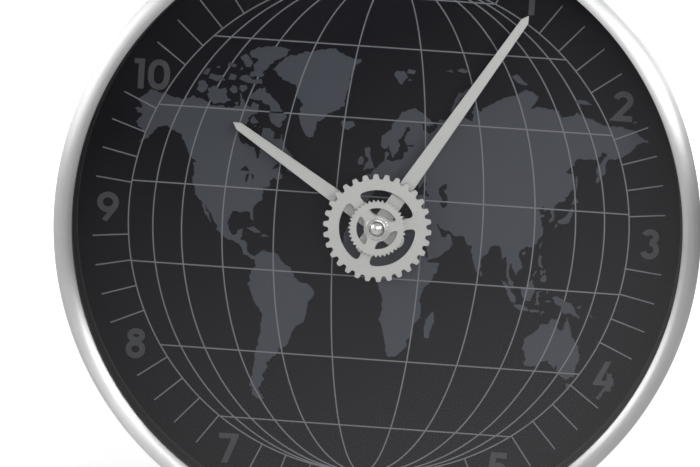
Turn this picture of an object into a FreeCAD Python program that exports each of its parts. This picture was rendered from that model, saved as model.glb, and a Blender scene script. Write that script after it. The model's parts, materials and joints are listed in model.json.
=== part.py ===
"""World time wall clock: round metal case, printed dial, two hands under a gear hub, quartz movement.

Axes: +X right, +Z up, the wall at y = 0 and the reader at -Y. Places along Y are written as depths,
the distance in front of the wall. Bearings are clockwise from twelve o'clock, in degrees.
The model is built round the hands' arbor and then lowered, so that the row's origin is the keyhole.
"""
import FreeCAD, Part
import math
import os

# Case
CASE_RADIUS = 150.0
RIM_FACE = 8.2
RIM_WALL = 2.0
RIM_NOSE_RADIUS = 5.8
RIM_NOSE_STEPS = 3
LIP_HEIGHT = 2.0
LIP_SETBACK = 1.5
COVER_THICKNESS = 2.4
DIAL_BACK_DEPTH = 19.0
DIAL_THICKNESS = 1.0
GLASS_GAP = 19.5
GLASS_THICKNESS = 3.0
SURROUND_WALL = 2.5
SURROUND_STEP = 0.8
CASE_FIT = 0.2
COVER_RIB_COUNT = 8
COVER_RIB_THICKNESS = 1.6
WINDOW_GAP = 0.8
WINDOW_WALL = 1.8
WINDOW_WALL_HEIGHT = 7.0

# Hanging keyhole in the back cover
HANG_HEIGHT = 105.0
KEYHOLE_RADIUS = 5.0
KEYHOLE_SLOT_WIDTH = 4.6
KEYHOLE_SLOT_RISE = 9.0
KEYHOLE_POCKET_DEPTH = 9.0
KEYHOLE_POCKET_WALL = 1.6
KEYHOLE_POCKET_GAP = 1.5

# Hands and hub, as distances in front of the dial
MINUTE_BEARING = 31.6
HOUR_BEARING = 302.2
HAND_THICKNESS = 0.8
HOUR_HAND_LIFT = 6.0
MINUTE_HAND_LIFT = 8.6
LARGE_GEAR_LIFT = 10.8
SMALL_GEAR_LIFT = 13.0
HOUR_HAND_LENGTH = 83.0
MINUTE_HAND_LENGTH = 121.0
HAND_ROOT_WIDTH = 7.7
HOUR_TIP_WIDTH = 5.3
MINUTE_TIP_WIDTH = 4.5
HAND_TAIL = 14.3
HAND_POINT = 3.2
HAND_BUSH_WALL = 1.9
HAND_BUSH_HEIGHT = 1.2
SPOKE_BEARING = 78.4
SPOKE_COUNT = 3
SLOT_STEPS = 6
GEAR_HUB_RADIUS = 3.4
LARGE_GEAR_TEETH = 30
LARGE_GEAR_TIP = 25.2
LARGE_GEAR_ROOT = 22.8
LARGE_GEAR_THICKNESS = 1.2
LARGE_ROOT_SHARE = 0.66
LARGE_TIP_SHARE = 0.36
LARGE_TOOTH_BEARING = 7.0
LARGE_SLOT_OUTER = 17.8
LARGE_SLOT_INNER = 6.2
LARGE_SPOKE_WIDTH = 5.2
LARGE_SLOT_CORNER = 2.4
SMALL_GEAR_TEETH = 40
SMALL_GEAR_TIP = 13.5
SMALL_GEAR_ROOT = 12.3
SMALL_GEAR_THICKNESS = 1.0
SMALL_TOOTH_BEARING = 7.5
SMALL_SLOT_OUTER = 9.6
SMALL_SLOT_INNER = 6.2
SMALL_SPOKE_WIDTH = 4.6
SMALL_SLOT_CORNER = 0.9
CAP_FLANGE_RADIUS = 5.4
CAP_FLANGE_HEIGHT = 0.7
CAP_RADIUS = 3.8
CAP_CROWN_RADIUS = 1.0
CAP_HEIGHT = 3.9
CAP_DOME_STEPS = 2

# Arbor, pipes and the fixing that holds the movement to the dial
RUNNING_GAP = 0.05
STACK_GAP = 0.1
MINUTE_ARBOR_RADIUS = 1.75
MINUTE_ARBOR_REAR_RADIUS = 0.8
STUD_REACH = 2.0
HOUR_PIPE_WALL = 0.7
BUSHING_WALL = 1.45
BUSHING_HEIGHT = 4.3
DIAL_HOLE_GAP = 0.15
RUBBER_WASHER_THICKNESS = 1.0
RUBBER_WASHER_SIZE = 17.0
NUT_HEIGHT = 2.4
NUT_ACROSS_FLATS = 11.0

# Movement housing
HOUSING_SIZE = 56.0
HOUSING_CORNER = 1.5
HOUSING_WALL = 1.2
HOUSING_REAR_DEPTH = 2.0
HOUSING_SPLIT_DEPTH = 9.0
BATTERY_RADIUS = 7.25
BATTERY_LENGTH = 50.5
BATTERY_NUB_RADIUS = 2.7
BATTERY_NUB_HEIGHT = 1.2
BATTERY_GAP = 0.2
CONTACT_THICKNESS = 0.35
CONTACT_WIDTH = 9.0
STRIP_WIDTH = 1.0
TAB_WIDTH = 2.0
TAB_RISE = 2.0
TAB_REACH = 3.0

# Middle plate and levels of the wheels, as depths
PLATE_THICKNESS = 1.0
PLATE_DEPTH = 11.5
PLATE_GAP = 0.4
POST_WIDTH = 3.0
WHEEL_THICKNESS = 0.8
PINION_THICKNESS = 1.2
CENTRE_LEVEL = 10.5
THIRD_LEVEL = 9.0
SECONDS_LEVEL = 7.5
INTERMEDIATE_LEVEL = 6.0
MOTION_LEVEL = 13.4
HOUR_LEVEL = 15.1
ARBOR_RADIUS = 0.5
ARBOR_SIDES = 12
CENTRE_HUB_RADIUS = 1.6
PIVOT_DEPTH = 0.8
BEARING_SIDES = 8

# Tooth counts, modules and bearings of the train
ROTOR_PINION_TEETH = 6
INTERMEDIATE_TEETH = 30
INTERMEDIATE_PINION_TEETH = 6
SECONDS_TEETH = 36
SECONDS_PINION_TEETH = 6
THIRD_TEETH = 45
THIRD_PINION_TEETH = 6
CENTRE_TEETH = 48
CANNON_TEETH = 8
MOTION_TEETH = 24
MOTION_PINION_TEETH = 6
HOUR_TEETH = 24
KNOB_PINION_TEETH = 8
ROTOR_MODULE = 0.5
SECONDS_MODULE = 0.4167
THIRD_MODULE = 0.4
CENTRE_MODULE = 0.3778
MOTION_MODULE = 0.45
THIRD_BEARING = 47.0
SECONDS_BEARING = 349.5
INTERMEDIATE_BEARING = 275.3
ROTOR_BEARING = 230.0
MOTION_BEARING = 250.0
KNOB_BEARING = 265.0
ADDENDUM = 0.75
DEDENDUM = 1.1

# Step motor, circuit and setting knob
MAGNET_RADIUS = 3.1
MAGNET_THICKNESS = 2.5
MAGNET_LEVEL = 9.8
STATOR_GAP = 0.6
STATOR_RING = 2.2
STATOR_ARM = 3.6
STATOR_THICKNESS = 1.2
STATOR_DEPTH = 8.7
COIL_X = -21.5
COIL_LOW = 5.4
COIL_HIGH = 22.4
BOBBIN_HALF = 3.7
BOBBIN_FLANGE = 0.9
BOBBIN_TUBE = 2.0
WINDING_HALF = 3.4
CORE_WIDTH = 2.4
CORE_THICKNESS = 1.2
CORE_OVERHANG = 3.8
COIL_CLEARANCE = 1.6
BOARD_THICKNESS = 0.8
BOARD_DEPTH = 14.8
BOARD_WIDTH = 9.0
CRYSTAL_WIDTH = 2.0
CRYSTAL_LENGTH = 6.0
CRYSTAL_INSET = 1.0
CRYSTAL_RISE = 4.0
CHIP_SIZE = 4.0
CHIP_HEIGHT = 0.8
KNOB_RADIUS = 6.0
KNOB_THICKNESS = 2.2
KNOB_GRIPS = 16
KNOB_GRIP_DEPTH = 0.8
KNOB_SHAFT_RADIUS = 1.0
KNOB_POCKET_GAP = 0.6

# Levels that follow from the values above
DIAL_DEPTH = DIAL_BACK_DEPTH + DIAL_THICKNESS
GLASS_BACK = DIAL_DEPTH + GLASS_GAP
GLASS_FRONT = GLASS_BACK + GLASS_THICKNESS
LIP_FRONT = GLASS_FRONT + LIP_HEIGHT
CASE_DEPTH = LIP_FRONT + LIP_SETBACK
LIP_RADIUS = CASE_RADIUS - RIM_FACE
RIM_INNER = CASE_RADIUS - RIM_WALL
SURROUND_INNER = LIP_RADIUS - SURROUND_STEP
DIAL_RADIUS = SURROUND_INNER + SURROUND_WALL
HOUSING_HALF = HOUSING_SIZE / 2
CHAMBER_HALF = HOUSING_HALF - HOUSING_WALL
HOUSING_FRONT = DIAL_BACK_DEPTH - RUBBER_WASHER_THICKNESS
CHAMBER_FRONT = HOUSING_FRONT - HOUSING_WALL
CHAMBER_REAR = HOUSING_REAR_DEPTH + HOUSING_WALL
BAY_TOP = -CHAMBER_HALF + 2 * (BATTERY_RADIUS + BATTERY_GAP)
CHAMBER_FLOOR = BAY_TOP + HOUSING_WALL
BATTERY_Z = -CHAMBER_HALF + BATTERY_RADIUS + BATTERY_GAP
BATTERY_DEPTH = CHAMBER_FRONT - BATTERY_GAP / 2 - BATTERY_RADIUS
PLATE_FRONT = PLATE_DEPTH + PLATE_THICKNESS
PLATE_LEFT = COIL_X + BOBBIN_HALF + COIL_CLEARANCE
HOUR_PIPE_BORE = MINUTE_ARBOR_RADIUS + RUNNING_GAP
HOUR_PIPE_RADIUS = HOUR_PIPE_BORE + HOUR_PIPE_WALL
BUSHING_BORE = HOUR_PIPE_RADIUS + RUNNING_GAP
BUSHING_RADIUS = BUSHING_BORE + BUSHING_WALL
HOUR_HAND_DEPTH = DIAL_DEPTH + HOUR_HAND_LIFT
MINUTE_HAND_DEPTH = DIAL_DEPTH + MINUTE_HAND_LIFT
LARGE_GEAR_DEPTH = DIAL_DEPTH + LARGE_GEAR_LIFT
SMALL_GEAR_DEPTH = DIAL_DEPTH + SMALL_GEAR_LIFT
CAP_DEPTH = SMALL_GEAR_DEPTH + SMALL_GEAR_THICKNESS
ARBOR_REAR = CHAMBER_REAR - PIVOT_DEPTH + STACK_GAP
ARBOR_FRONT = PLATE_DEPTH + PIVOT_DEPTH - STACK_GAP
COIL_DEPTH = STATOR_DEPTH - CORE_THICKNESS / 2

V = FreeCAD.Vector


# ---- Shapes ----------------------------------------------------------------

def polar(radius, bearing, centre=(0.0, 0.0)):
    """Point (x, z) at a radius and a bearing clockwise from twelve."""
    angle = math.radians(bearing)
    return (centre[0] + radius * math.sin(angle), centre[1] + radius * math.cos(angle))


def disc(radius, low, high, centre=(0.0, 0.0)):
    """Cylinder along Y between two depths."""
    return Part.makeCylinder(radius, high - low, V(centre[0], -low, centre[1]), V(0, -1, 0))


def tube(outer, inner, low, high, centre=(0.0, 0.0)):
    """Ring along Y between two depths."""
    return disc(outer, low, high, centre).cut(disc(inner, low, high, centre))


def block(x_low, x_high, z_low, z_high, low, high):
    """Box between two depths."""
    return Part.makeBox(x_high - x_low, high - low, z_high - z_low, V(x_low, -high, z_low))


def prism(points, low, high):
    """Straight-sided plate whose outline is a list of (x, z) points."""
    corners = [V(x, -low, z) for x, z in points]
    face = Part.Face(Part.makePolygon(corners + corners[:1]))
    return face.extrude(V(0, low - high, 0))


def bar(start, end, width, low, high):
    """Flat bar with round ends between two (x, z) points."""
    length = math.hypot(end[0] - start[0], end[1] - start[1])
    angle = math.degrees(math.atan2(end[0] - start[0], end[1] - start[1]))
    strip = block(-width / 2, width / 2, 0, length, low, high)
    strip.rotate(V(0, 0, 0), V(0, 1, 0), angle)
    strip.translate(V(start[0], 0, start[1]))
    ends = [disc(width / 2, low, high, start), disc(width / 2, low, high, end)]
    return strip.multiFuse(ends).removeSplitter()


def turned(points):
    """Solid of revolution about the arbor; its section is a closed chain of (radius, depth) points."""
    corners = [V(radius, -depth, 0) for radius, depth in points]
    return Part.Face(Part.makePolygon(corners + corners[:1])).revolve(V(0, 0, 0), V(0, 1, 0), 360)


def quarter(radius, depth, out, forward, steps):
    """Chain of (radius, depth) points on a quarter curve, from its widest point to its foremost."""
    angles = [math.radians(90.0 * step / steps) for step in range(steps + 1)]
    return [(radius + out * math.cos(angle), depth + forward * math.sin(angle)) for angle in angles]


def arbor(low, high, centre):
    """Thin arbor of a wheel, its round section drawn with few sides."""
    return prism([polar(ARBOR_RADIUS, bearing, centre) for bearing in around(ARBOR_SIDES)], low, high)


def bearing_hole(radius, low, high, centre=(0.0, 0.0)):
    """Hole with few sides for a round arbor, each side a running gap away from it."""
    corner = (radius + RUNNING_GAP) / math.cos(math.pi / BEARING_SIDES)
    return prism([polar(corner, bearing, centre) for bearing in around(BEARING_SIDES)], low, high)


def square(half, low, high):
    """Square block centred on the arbor."""
    return block(-half, half, -half, half, low, high)


def eased_square(half, corner, low, high):
    """Square block centred on the arbor with its corners cut off."""
    side = half - corner
    return prism([(-half, -side), (-half, side), (-side, half), (side, half),
                  (half, side), (half, -side), (side, -half), (-side, -half)], low, high)


def around(count, start=0.0):
    """Evenly spaced bearings."""
    return [start + 360.0 * step / count for step in range(count)]


def one(base, *others):
    """Fuse solids and drop the seams between faces that lie in one plane."""
    return base.multiFuse(list(others)).removeSplitter()


def cut(base, *others):
    """Cut solids out of a base."""
    return base.cut(Part.makeCompound(list(others)))


# ---- Gears -----------------------------------------------------------------

def toothed(teeth, module, low, high, centre, tooth_bearing):
    """Disc of pointed teeth between two depths, one tooth at a bearing."""
    pitch_radius = module * teeth / 2
    points = []
    for bearing in around(teeth, tooth_bearing):
        points.append(polar(pitch_radius + ADDENDUM * module, bearing, centre))
        points.append(polar(pitch_radius - DEDENDUM * module, bearing + 180.0 / teeth, centre))
    return prism(points, low, high)


def driven(teeth, module, level, centre, towards):
    """Wheel with a gap on the line to the pinion that drives it."""
    half = WHEEL_THICKNESS / 2
    return toothed(teeth, module, level - half, level + half, centre, towards + 180.0 / teeth)


def spacing(first, second, module):
    """Distance between the centres of two meshing gears."""
    return module * (first + second) / 2


CENTRE = (0.0, 0.0)
THIRD = polar(spacing(THIRD_PINION_TEETH, CENTRE_TEETH, CENTRE_MODULE), THIRD_BEARING)
SECONDS = polar(spacing(SECONDS_PINION_TEETH, THIRD_TEETH, THIRD_MODULE), SECONDS_BEARING, THIRD)
INTERMEDIATE = polar(spacing(INTERMEDIATE_PINION_TEETH, SECONDS_TEETH, SECONDS_MODULE),
                     INTERMEDIATE_BEARING, SECONDS)
ROTOR = polar(spacing(ROTOR_PINION_TEETH, INTERMEDIATE_TEETH, ROTOR_MODULE), ROTOR_BEARING, INTERMEDIATE)
MOTION = polar(spacing(CANNON_TEETH, MOTION_TEETH, MOTION_MODULE), MOTION_BEARING)
KNOB = polar(spacing(KNOB_PINION_TEETH, MOTION_TEETH, MOTION_MODULE), KNOB_BEARING, MOTION)
HOUR_MODULE = MOTION_MODULE * (CANNON_TEETH + MOTION_TEETH) / (MOTION_PINION_TEETH + HOUR_TEETH)
TRAIN_PIVOTS = [THIRD, SECONDS, INTERMEDIATE, ROTOR]


# ---- Case ------------------------------------------------------------------

def case_rim():
    """Turned metal rim: thin wall, rounded nose, inner lip that holds the glass."""
    crest = CASE_RADIUS - RIM_NOSE_RADIUS
    nose_start = CASE_DEPTH - RIM_NOSE_RADIUS
    nose = quarter(crest, nose_start, RIM_NOSE_RADIUS, RIM_NOSE_RADIUS, RIM_NOSE_STEPS)
    lip = [(LIP_RADIUS, LIP_FRONT), (LIP_RADIUS, GLASS_FRONT), (RIM_INNER, GLASS_FRONT)]
    return turned([(RIM_INNER, COVER_THICKNESS), (CASE_RADIUS, COVER_THICKNESS)] + nose + lip)


def glass_lens():
    """Flat glass behind the lip."""
    return disc(RIM_INNER - CASE_FIT, GLASS_BACK, GLASS_FRONT)


def dial_surround():
    """Dark ring that spaces the glass from the dial."""
    return tube(SURROUND_INNER + SURROUND_WALL, SURROUND_INNER, DIAL_DEPTH, GLASS_BACK)


def dial():
    """Thin metal dial with the hole for the movement's bushing."""
    return tube(DIAL_RADIUS, BUSHING_RADIUS + DIAL_HOLE_GAP, DIAL_BACK_DEPTH, DIAL_DEPTH)


def keyhole(low, high):
    """Keyhole outline: a round entry with a slot that rises from it."""
    top = (0.0, HANG_HEIGHT + KEYHOLE_SLOT_RISE)
    return one(disc(KEYHOLE_RADIUS, low, high, (0.0, HANG_HEIGHT)),
               bar((0.0, HANG_HEIGHT), top, KEYHOLE_SLOT_WIDTH, low, high))


def back_cover():
    """Moulded back: flat plate, tall ribs that back the dial, movement window and keyhole pocket."""
    plate = disc(CASE_RADIUS - CASE_FIT, 0, COVER_THICKNESS)
    window = HOUSING_HALF + WINDOW_GAP
    frame_half = window + WINDOW_WALL
    window_top = COVER_THICKNESS + WINDOW_WALL_HEIGHT
    rib_start = (window + WINDOW_WALL / 2) / math.cos(math.pi / COVER_RIB_COUNT)
    ribs = []
    for bearing in around(COVER_RIB_COUNT, 180.0 / COVER_RIB_COUNT):
        rib = block(-COVER_RIB_THICKNESS / 2, COVER_RIB_THICKNESS / 2, rib_start, DIAL_RADIUS - SURROUND_WALL,
                    COVER_THICKNESS, DIAL_BACK_DEPTH)
        rib.rotate(V(0, 0, 0), V(0, 1, 0), bearing)
        ribs.append(rib)
    reach = KEYHOLE_RADIUS + KEYHOLE_POCKET_GAP
    slot_top = HANG_HEIGHT + KEYHOLE_SLOT_RISE
    pocket_front = COVER_THICKNESS + KEYHOLE_POCKET_DEPTH
    wall = KEYHOLE_POCKET_WALL
    pocket = block(-reach - wall, reach + wall, HANG_HEIGHT - reach - wall, slot_top + reach + wall,
                   COVER_THICKNESS, pocket_front + wall)
    hollow = block(-reach, reach, HANG_HEIGHT - reach, slot_top + reach, COVER_THICKNESS, pocket_front)
    holes = [keyhole(0, COVER_THICKNESS), hollow, square(window, 0, window_top)]
    return cut(one(plate, square(frame_half, COVER_THICKNESS, window_top), pocket, *ribs), *holes)


# ---- Hands and gear hub ----------------------------------------------------

def blade(length, tip_width, bore, low, bearing):
    """Flat hand: round tail, gentle taper, short point, and a bush behind it round its bore."""
    root = HAND_ROOT_WIDTH / 2
    tip = tip_width / 2
    high = low + HAND_THICKNESS
    tail_centre = -(HAND_TAIL - root)
    outline = [(-root, tail_centre), (-root, 0), (-tip, length - HAND_POINT), (0, length),
               (tip, length - HAND_POINT), (root, 0), (root, tail_centre)]
    body = one(prism(outline, low, high), disc(root, low, high, (0, tail_centre)),
               disc(bore + HAND_BUSH_WALL, low - HAND_BUSH_HEIGHT, low))
    body = body.cut(disc(bore, low - HAND_BUSH_HEIGHT, high))
    body.rotate(V(0, 0, 0), V(0, 1, 0), bearing)
    return body


def slot_outline(inner, outer, spoke_width, corner, bearing):
    """Outline of the long slot between the spoke at a bearing and the next one, its corners cut."""
    def spoke_edge(radius):
        return math.degrees(math.asin(spoke_width / 2 / radius))

    middle = bearing + 180.0 / SPOKE_COUNT
    corner_in = min(corner, (outer - inner) / 4)
    side = []
    for radius, shift in ((inner, corner_in), (inner + corner_in, 0), (outer - corner, 0), (outer, corner)):
        side.append((radius, middle - bearing - spoke_edge(radius) - math.degrees(shift / radius)))
    outline = [(radius, -half) for radius, half in side]
    reach = side[-1][1]
    outline += [(outer, reach * (2.0 * step / SLOT_STEPS - 1)) for step in range(1, SLOT_STEPS)]
    outline += [(radius, half) for radius, half in reversed(side)]
    outline.append((inner, 0))
    return [polar(radius, middle + half) for radius, half in outline]


def spoked_gear(outline, low, thickness, slots, hub_low, bore):
    """Gear disc with long slots between its spokes and a hub behind it."""
    high = low + thickness
    holes = [prism(slot, low, high) for slot in slots]
    body = one(prism(outline, low, high), disc(GEAR_HUB_RADIUS, hub_low, low))
    return cut(body, disc(bore, hub_low, high), *holes)


def gear_outline(teeth, tooth_bearing, flank):
    """Outline of a hub gear; a flank is a list of (radius, half width in degrees) from root to tip."""
    points = []
    for bearing in around(teeth, tooth_bearing):
        points += [polar(radius, bearing - half) for radius, half in flank]
        points += [polar(radius, bearing + half) for radius, half in reversed(flank) if 0 < half < 180.0 / teeth]
    return points


def large_gear():
    """Large gear of the hub: blunt teeth, three long slots; its hub stands on the minute hand."""
    pitch = 360.0 / LARGE_GEAR_TEETH
    flank = [(LARGE_GEAR_ROOT, LARGE_ROOT_SHARE * pitch / 2), (LARGE_GEAR_TIP, LARGE_TIP_SHARE * pitch / 2)]
    outline = gear_outline(LARGE_GEAR_TEETH, LARGE_TOOTH_BEARING, flank)
    slots = [slot_outline(LARGE_SLOT_INNER, LARGE_SLOT_OUTER, LARGE_SPOKE_WIDTH, LARGE_SLOT_CORNER, bearing)
             for bearing in around(SPOKE_COUNT, SPOKE_BEARING)]
    return spoked_gear(outline, LARGE_GEAR_DEPTH, LARGE_GEAR_THICKNESS, slots, MINUTE_HAND_DEPTH + HAND_THICKNESS,
                       MINUTE_ARBOR_RADIUS + RUNNING_GAP)


def small_gear():
    """Small gear of the hub: fine pointed teeth; its hub stands on the large gear."""
    outline = gear_outline(SMALL_GEAR_TEETH, SMALL_TOOTH_BEARING,
                           [(SMALL_GEAR_ROOT, 180.0 / SMALL_GEAR_TEETH), (SMALL_GEAR_TIP, 0)])
    slots = [slot_outline(SMALL_SLOT_INNER, SMALL_SLOT_OUTER, SMALL_SPOKE_WIDTH, SMALL_SLOT_CORNER, bearing)
             for bearing in around(SPOKE_COUNT, SPOKE_BEARING)]
    return spoked_gear(outline, SMALL_GEAR_DEPTH, SMALL_GEAR_THICKNESS, slots,
                       LARGE_GEAR_DEPTH + LARGE_GEAR_THICKNESS, MINUTE_ARBOR_RADIUS + RUNNING_GAP)


def cap_nut():
    """Domed nut on a thin flange, threaded on the arbor's stud."""
    flange_top = CAP_DEPTH + CAP_FLANGE_HEIGHT
    dome = quarter(CAP_CROWN_RADIUS, flange_top, CAP_RADIUS - CAP_CROWN_RADIUS, CAP_HEIGHT - CAP_FLANGE_HEIGHT,
                   CAP_DOME_STEPS)
    bore = MINUTE_ARBOR_RADIUS + RUNNING_GAP
    stud_end = CAP_DEPTH + STUD_REACH + STACK_GAP
    return turned([(bore, CAP_DEPTH), (CAP_FLANGE_RADIUS, CAP_DEPTH), (CAP_FLANGE_RADIUS, flange_top)] + dome
                  + [(0, CAP_DEPTH + CAP_HEIGHT), (0, stud_end), (bore, stud_end)])


# ---- Arbors and wheels -----------------------------------------------------

def minute_arbor():
    """Arbor with the cannon pinion near its rear; its front carries the minute hand and the gear hub."""
    low = MOTION_LEVEL - PINION_THICKNESS / 2
    high = MOTION_LEVEL + PINION_THICKNESS / 2
    pinion = toothed(CANNON_TEETH, MOTION_MODULE, low, high, CENTRE, MOTION_BEARING)
    rear = disc(MINUTE_ARBOR_REAR_RADIUS, ARBOR_REAR, low)
    return one(pinion, rear, disc(MINUTE_ARBOR_RADIUS, high, CAP_DEPTH + STUD_REACH))


def hour_wheel():
    """Hour wheel moulded on the pipe that carries the hour hand."""
    low = HOUR_LEVEL - WHEEL_THICKNESS / 2
    high = HOUR_HAND_DEPTH + HAND_THICKNESS
    wheel = driven(HOUR_TEETH, HOUR_MODULE, HOUR_LEVEL, CENTRE, MOTION_BEARING)
    return one(wheel, disc(HOUR_PIPE_RADIUS, low, high)).cut(disc(HOUR_PIPE_BORE, low, high))


def motion_wheel():
    """Wheel and pinion that turn the hour wheel at a twelfth of the minute arbor's speed."""
    back = MOTION_BEARING + 180
    wheel = driven(MOTION_TEETH, MOTION_MODULE, MOTION_LEVEL, MOTION, back)
    pinion = toothed(MOTION_PINION_TEETH, HOUR_MODULE, MOTION_LEVEL + WHEEL_THICKNESS / 2,
                     HOUR_LEVEL + PINION_THICKNESS / 2, MOTION, back)
    return one(arbor(PLATE_FRONT + STACK_GAP, CHAMBER_FRONT + PIVOT_DEPTH - STACK_GAP, MOTION), wheel, pinion)


def setting_knob():
    """Notched thumb wheel at the back on a shaft with a pinion in the motion wheel."""
    high = HOUSING_REAR_DEPTH + KNOB_THICKNESS
    rim = []
    for bearing in around(KNOB_GRIPS):
        rim.append(polar(KNOB_RADIUS, bearing, KNOB))
        rim.append(polar(KNOB_RADIUS - KNOB_GRIP_DEPTH, bearing + 180.0 / KNOB_GRIPS, KNOB))
    pinion_low = MOTION_LEVEL - PINION_THICKNESS / 2
    pinion = toothed(KNOB_PINION_TEETH, MOTION_MODULE, pinion_low, pinion_low + PINION_THICKNESS, KNOB,
                     KNOB_BEARING - 180)
    shaft = disc(KNOB_SHAFT_RADIUS, high, pinion_low, KNOB)
    return one(prism(rim, HOUSING_REAR_DEPTH, high), shaft, pinion)


def centre_wheel():
    """Wheel that drives the minute arbor through a slipping hub."""
    low = CENTRE_LEVEL - WHEEL_THICKNESS
    high = CENTRE_LEVEL + WHEEL_THICKNESS / 2
    wheel = driven(CENTRE_TEETH, CENTRE_MODULE, CENTRE_LEVEL, CENTRE, THIRD_BEARING)
    hub = disc(CENTRE_HUB_RADIUS, low, CENTRE_LEVEL)
    return one(wheel, hub).cut(disc(MINUTE_ARBOR_REAR_RADIUS + RUNNING_GAP, low, high))


def compound_wheel(centre, wheel_teeth, wheel_module, level, driven_from, pinion_teeth, pinion_module, pinion_level,
                   drives_towards):
    """Wheel with the pinion in front of it, moulded on one arbor."""
    wheel = driven(wheel_teeth, wheel_module, level, centre, driven_from)
    pinion = toothed(pinion_teeth, pinion_module, level + WHEEL_THICKNESS / 2, pinion_level + PINION_THICKNESS / 2,
                     centre, drives_towards)
    return one(arbor(ARBOR_REAR, ARBOR_FRONT, centre), wheel, pinion)


def third_wheel():
    """Third wheel, driven by the seconds pinion; its own pinion drives the centre wheel."""
    return compound_wheel(THIRD, THIRD_TEETH, THIRD_MODULE, THIRD_LEVEL, SECONDS_BEARING,
                          THIRD_PINION_TEETH, CENTRE_MODULE, CENTRE_LEVEL, THIRD_BEARING + 180)


def seconds_wheel():
    """Seconds wheel, driven by the intermediate pinion."""
    return compound_wheel(SECONDS, SECONDS_TEETH, SECONDS_MODULE, SECONDS_LEVEL, INTERMEDIATE_BEARING,
                          SECONDS_PINION_TEETH, THIRD_MODULE, THIRD_LEVEL, SECONDS_BEARING + 180)


def intermediate_wheel():
    """Intermediate wheel, driven by the rotor's pinion."""
    return compound_wheel(INTERMEDIATE, INTERMEDIATE_TEETH, ROTOR_MODULE, INTERMEDIATE_LEVEL, ROTOR_BEARING,
                          INTERMEDIATE_PINION_TEETH, SECONDS_MODULE, SECONDS_LEVEL, INTERMEDIATE_BEARING + 180)


def rotor_pinion():
    """Rotor's arbor with its pinion."""
    low = INTERMEDIATE_LEVEL - PINION_THICKNESS / 2
    high = MAGNET_LEVEL - MAGNET_THICKNESS / 2
    pinion = toothed(ROTOR_PINION_TEETH, ROTOR_MODULE, low, high, ROTOR, ROTOR_BEARING + 180)
    return one(arbor(ARBOR_REAR, ARBOR_FRONT, ROTOR), pinion)


def rotor_magnet():
    """Ring magnet on the rotor's arbor."""
    low = MAGNET_LEVEL - MAGNET_THICKNESS / 2
    high = MAGNET_LEVEL + MAGNET_THICKNESS / 2
    return disc(MAGNET_RADIUS, low, high, ROTOR).cut(arbor(low, high, ROTOR))


# ---- Motor, circuit and battery ----------------------------------------------

def stator():
    """Flat iron plate round the magnet, with an arm to each end of the coil's core."""
    low = STATOR_DEPTH
    high = low + STATOR_THICKNESS
    hole = MAGNET_RADIUS + STATOR_GAP
    half = hole + STATOR_RING
    left = COIL_X - STATOR_ARM / 2
    ring = block(ROTOR[0] - half, ROTOR[0] + half, ROTOR[1] - half, ROTOR[1] + half, low, high)
    arms = []
    for end in (COIL_LOW - STATOR_ARM / 2, COIL_HIGH + STATOR_ARM / 2):
        z_low = min(end - STATOR_ARM / 2, ROTOR[1])
        z_high = max(end + STATOR_ARM / 2, ROTOR[1])
        arms.append(block(left, ROTOR[0], end - STATOR_ARM / 2, end + STATOR_ARM / 2, low, high))
        arms.append(block(ROTOR[0] - STATOR_ARM, ROTOR[0], z_low, z_high, low, high))
    return one(ring, *arms).cut(disc(hole, low, high, ROTOR))


def around_coil(half, z_low, z_high):
    """Square block round the coil's axis."""
    return block(COIL_X - half, COIL_X + half, z_low, z_high, COIL_DEPTH - half, COIL_DEPTH + half)


def core_bar(gap, overhang):
    """Rectangular bar along the coil's axis."""
    return block(COIL_X - CORE_WIDTH / 2 - gap, COIL_X + CORE_WIDTH / 2 + gap, COIL_LOW - overhang,
                 COIL_HIGH + overhang, COIL_DEPTH - CORE_THICKNESS / 2 - gap, COIL_DEPTH + CORE_THICKNESS / 2 + gap)


def coil_core():
    """Iron core through the coil, its ends flat against the stator."""
    return core_bar(0, CORE_OVERHANG)


def coil_bobbin():
    """Plastic bobbin with a flange at each end."""
    tube_part = around_coil(BOBBIN_TUBE, COIL_LOW, COIL_HIGH)
    lower = around_coil(BOBBIN_HALF, COIL_LOW, COIL_LOW + BOBBIN_FLANGE)
    upper = around_coil(BOBBIN_HALF, COIL_HIGH - BOBBIN_FLANGE, COIL_HIGH)
    return one(tube_part, lower, upper).cut(core_bar(RUNNING_GAP, CORE_OVERHANG))


def coil_winding():
    """Copper winding between the bobbin's flanges, its corners eased."""
    low = COIL_LOW + BOBBIN_FLANGE
    high = COIL_HIGH - BOBBIN_FLANGE
    winding = around_coil(WINDING_HALF, low, high)
    upright = [e for e in winding.Edges if abs(e.tangentAt(e.FirstParameter).z) > 0.9]
    return winding.makeChamfer(WINDING_HALF / 3, upright).cut(around_coil(BOBBIN_TUBE, low, high))


def board_edges():
    """Left, right, lower and upper edge of the circuit board."""
    left = -CHAMBER_HALF + PLATE_GAP
    low = CHAMBER_FLOOR + PLATE_GAP
    return left, left + BOARD_WIDTH, low, CHAMBER_HALF - PLATE_GAP


def circuit_board():
    """Narrow circuit board beside the train."""
    left, right, low, high = board_edges()
    return block(left, right, low, high, BOARD_DEPTH, BOARD_DEPTH + BOARD_THICKNESS)


def quartz_crystal():
    """Flat crystal can lying on the board."""
    left, right, low, high = board_edges()
    start = low + CRYSTAL_RISE
    return block(left + CRYSTAL_INSET, left + CRYSTAL_INSET + CRYSTAL_WIDTH, start, start + CRYSTAL_LENGTH,
                 BOARD_DEPTH - CRYSTAL_WIDTH, BOARD_DEPTH)


def driver_chip():
    """Moulded chip on the board."""
    left, right, low, high = board_edges()
    return block(right - CHIP_SIZE - PLATE_GAP, right - PLATE_GAP, low + PLATE_GAP, low + PLATE_GAP + CHIP_SIZE,
                 BOARD_DEPTH - CHIP_HEIGHT, BOARD_DEPTH)


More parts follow.
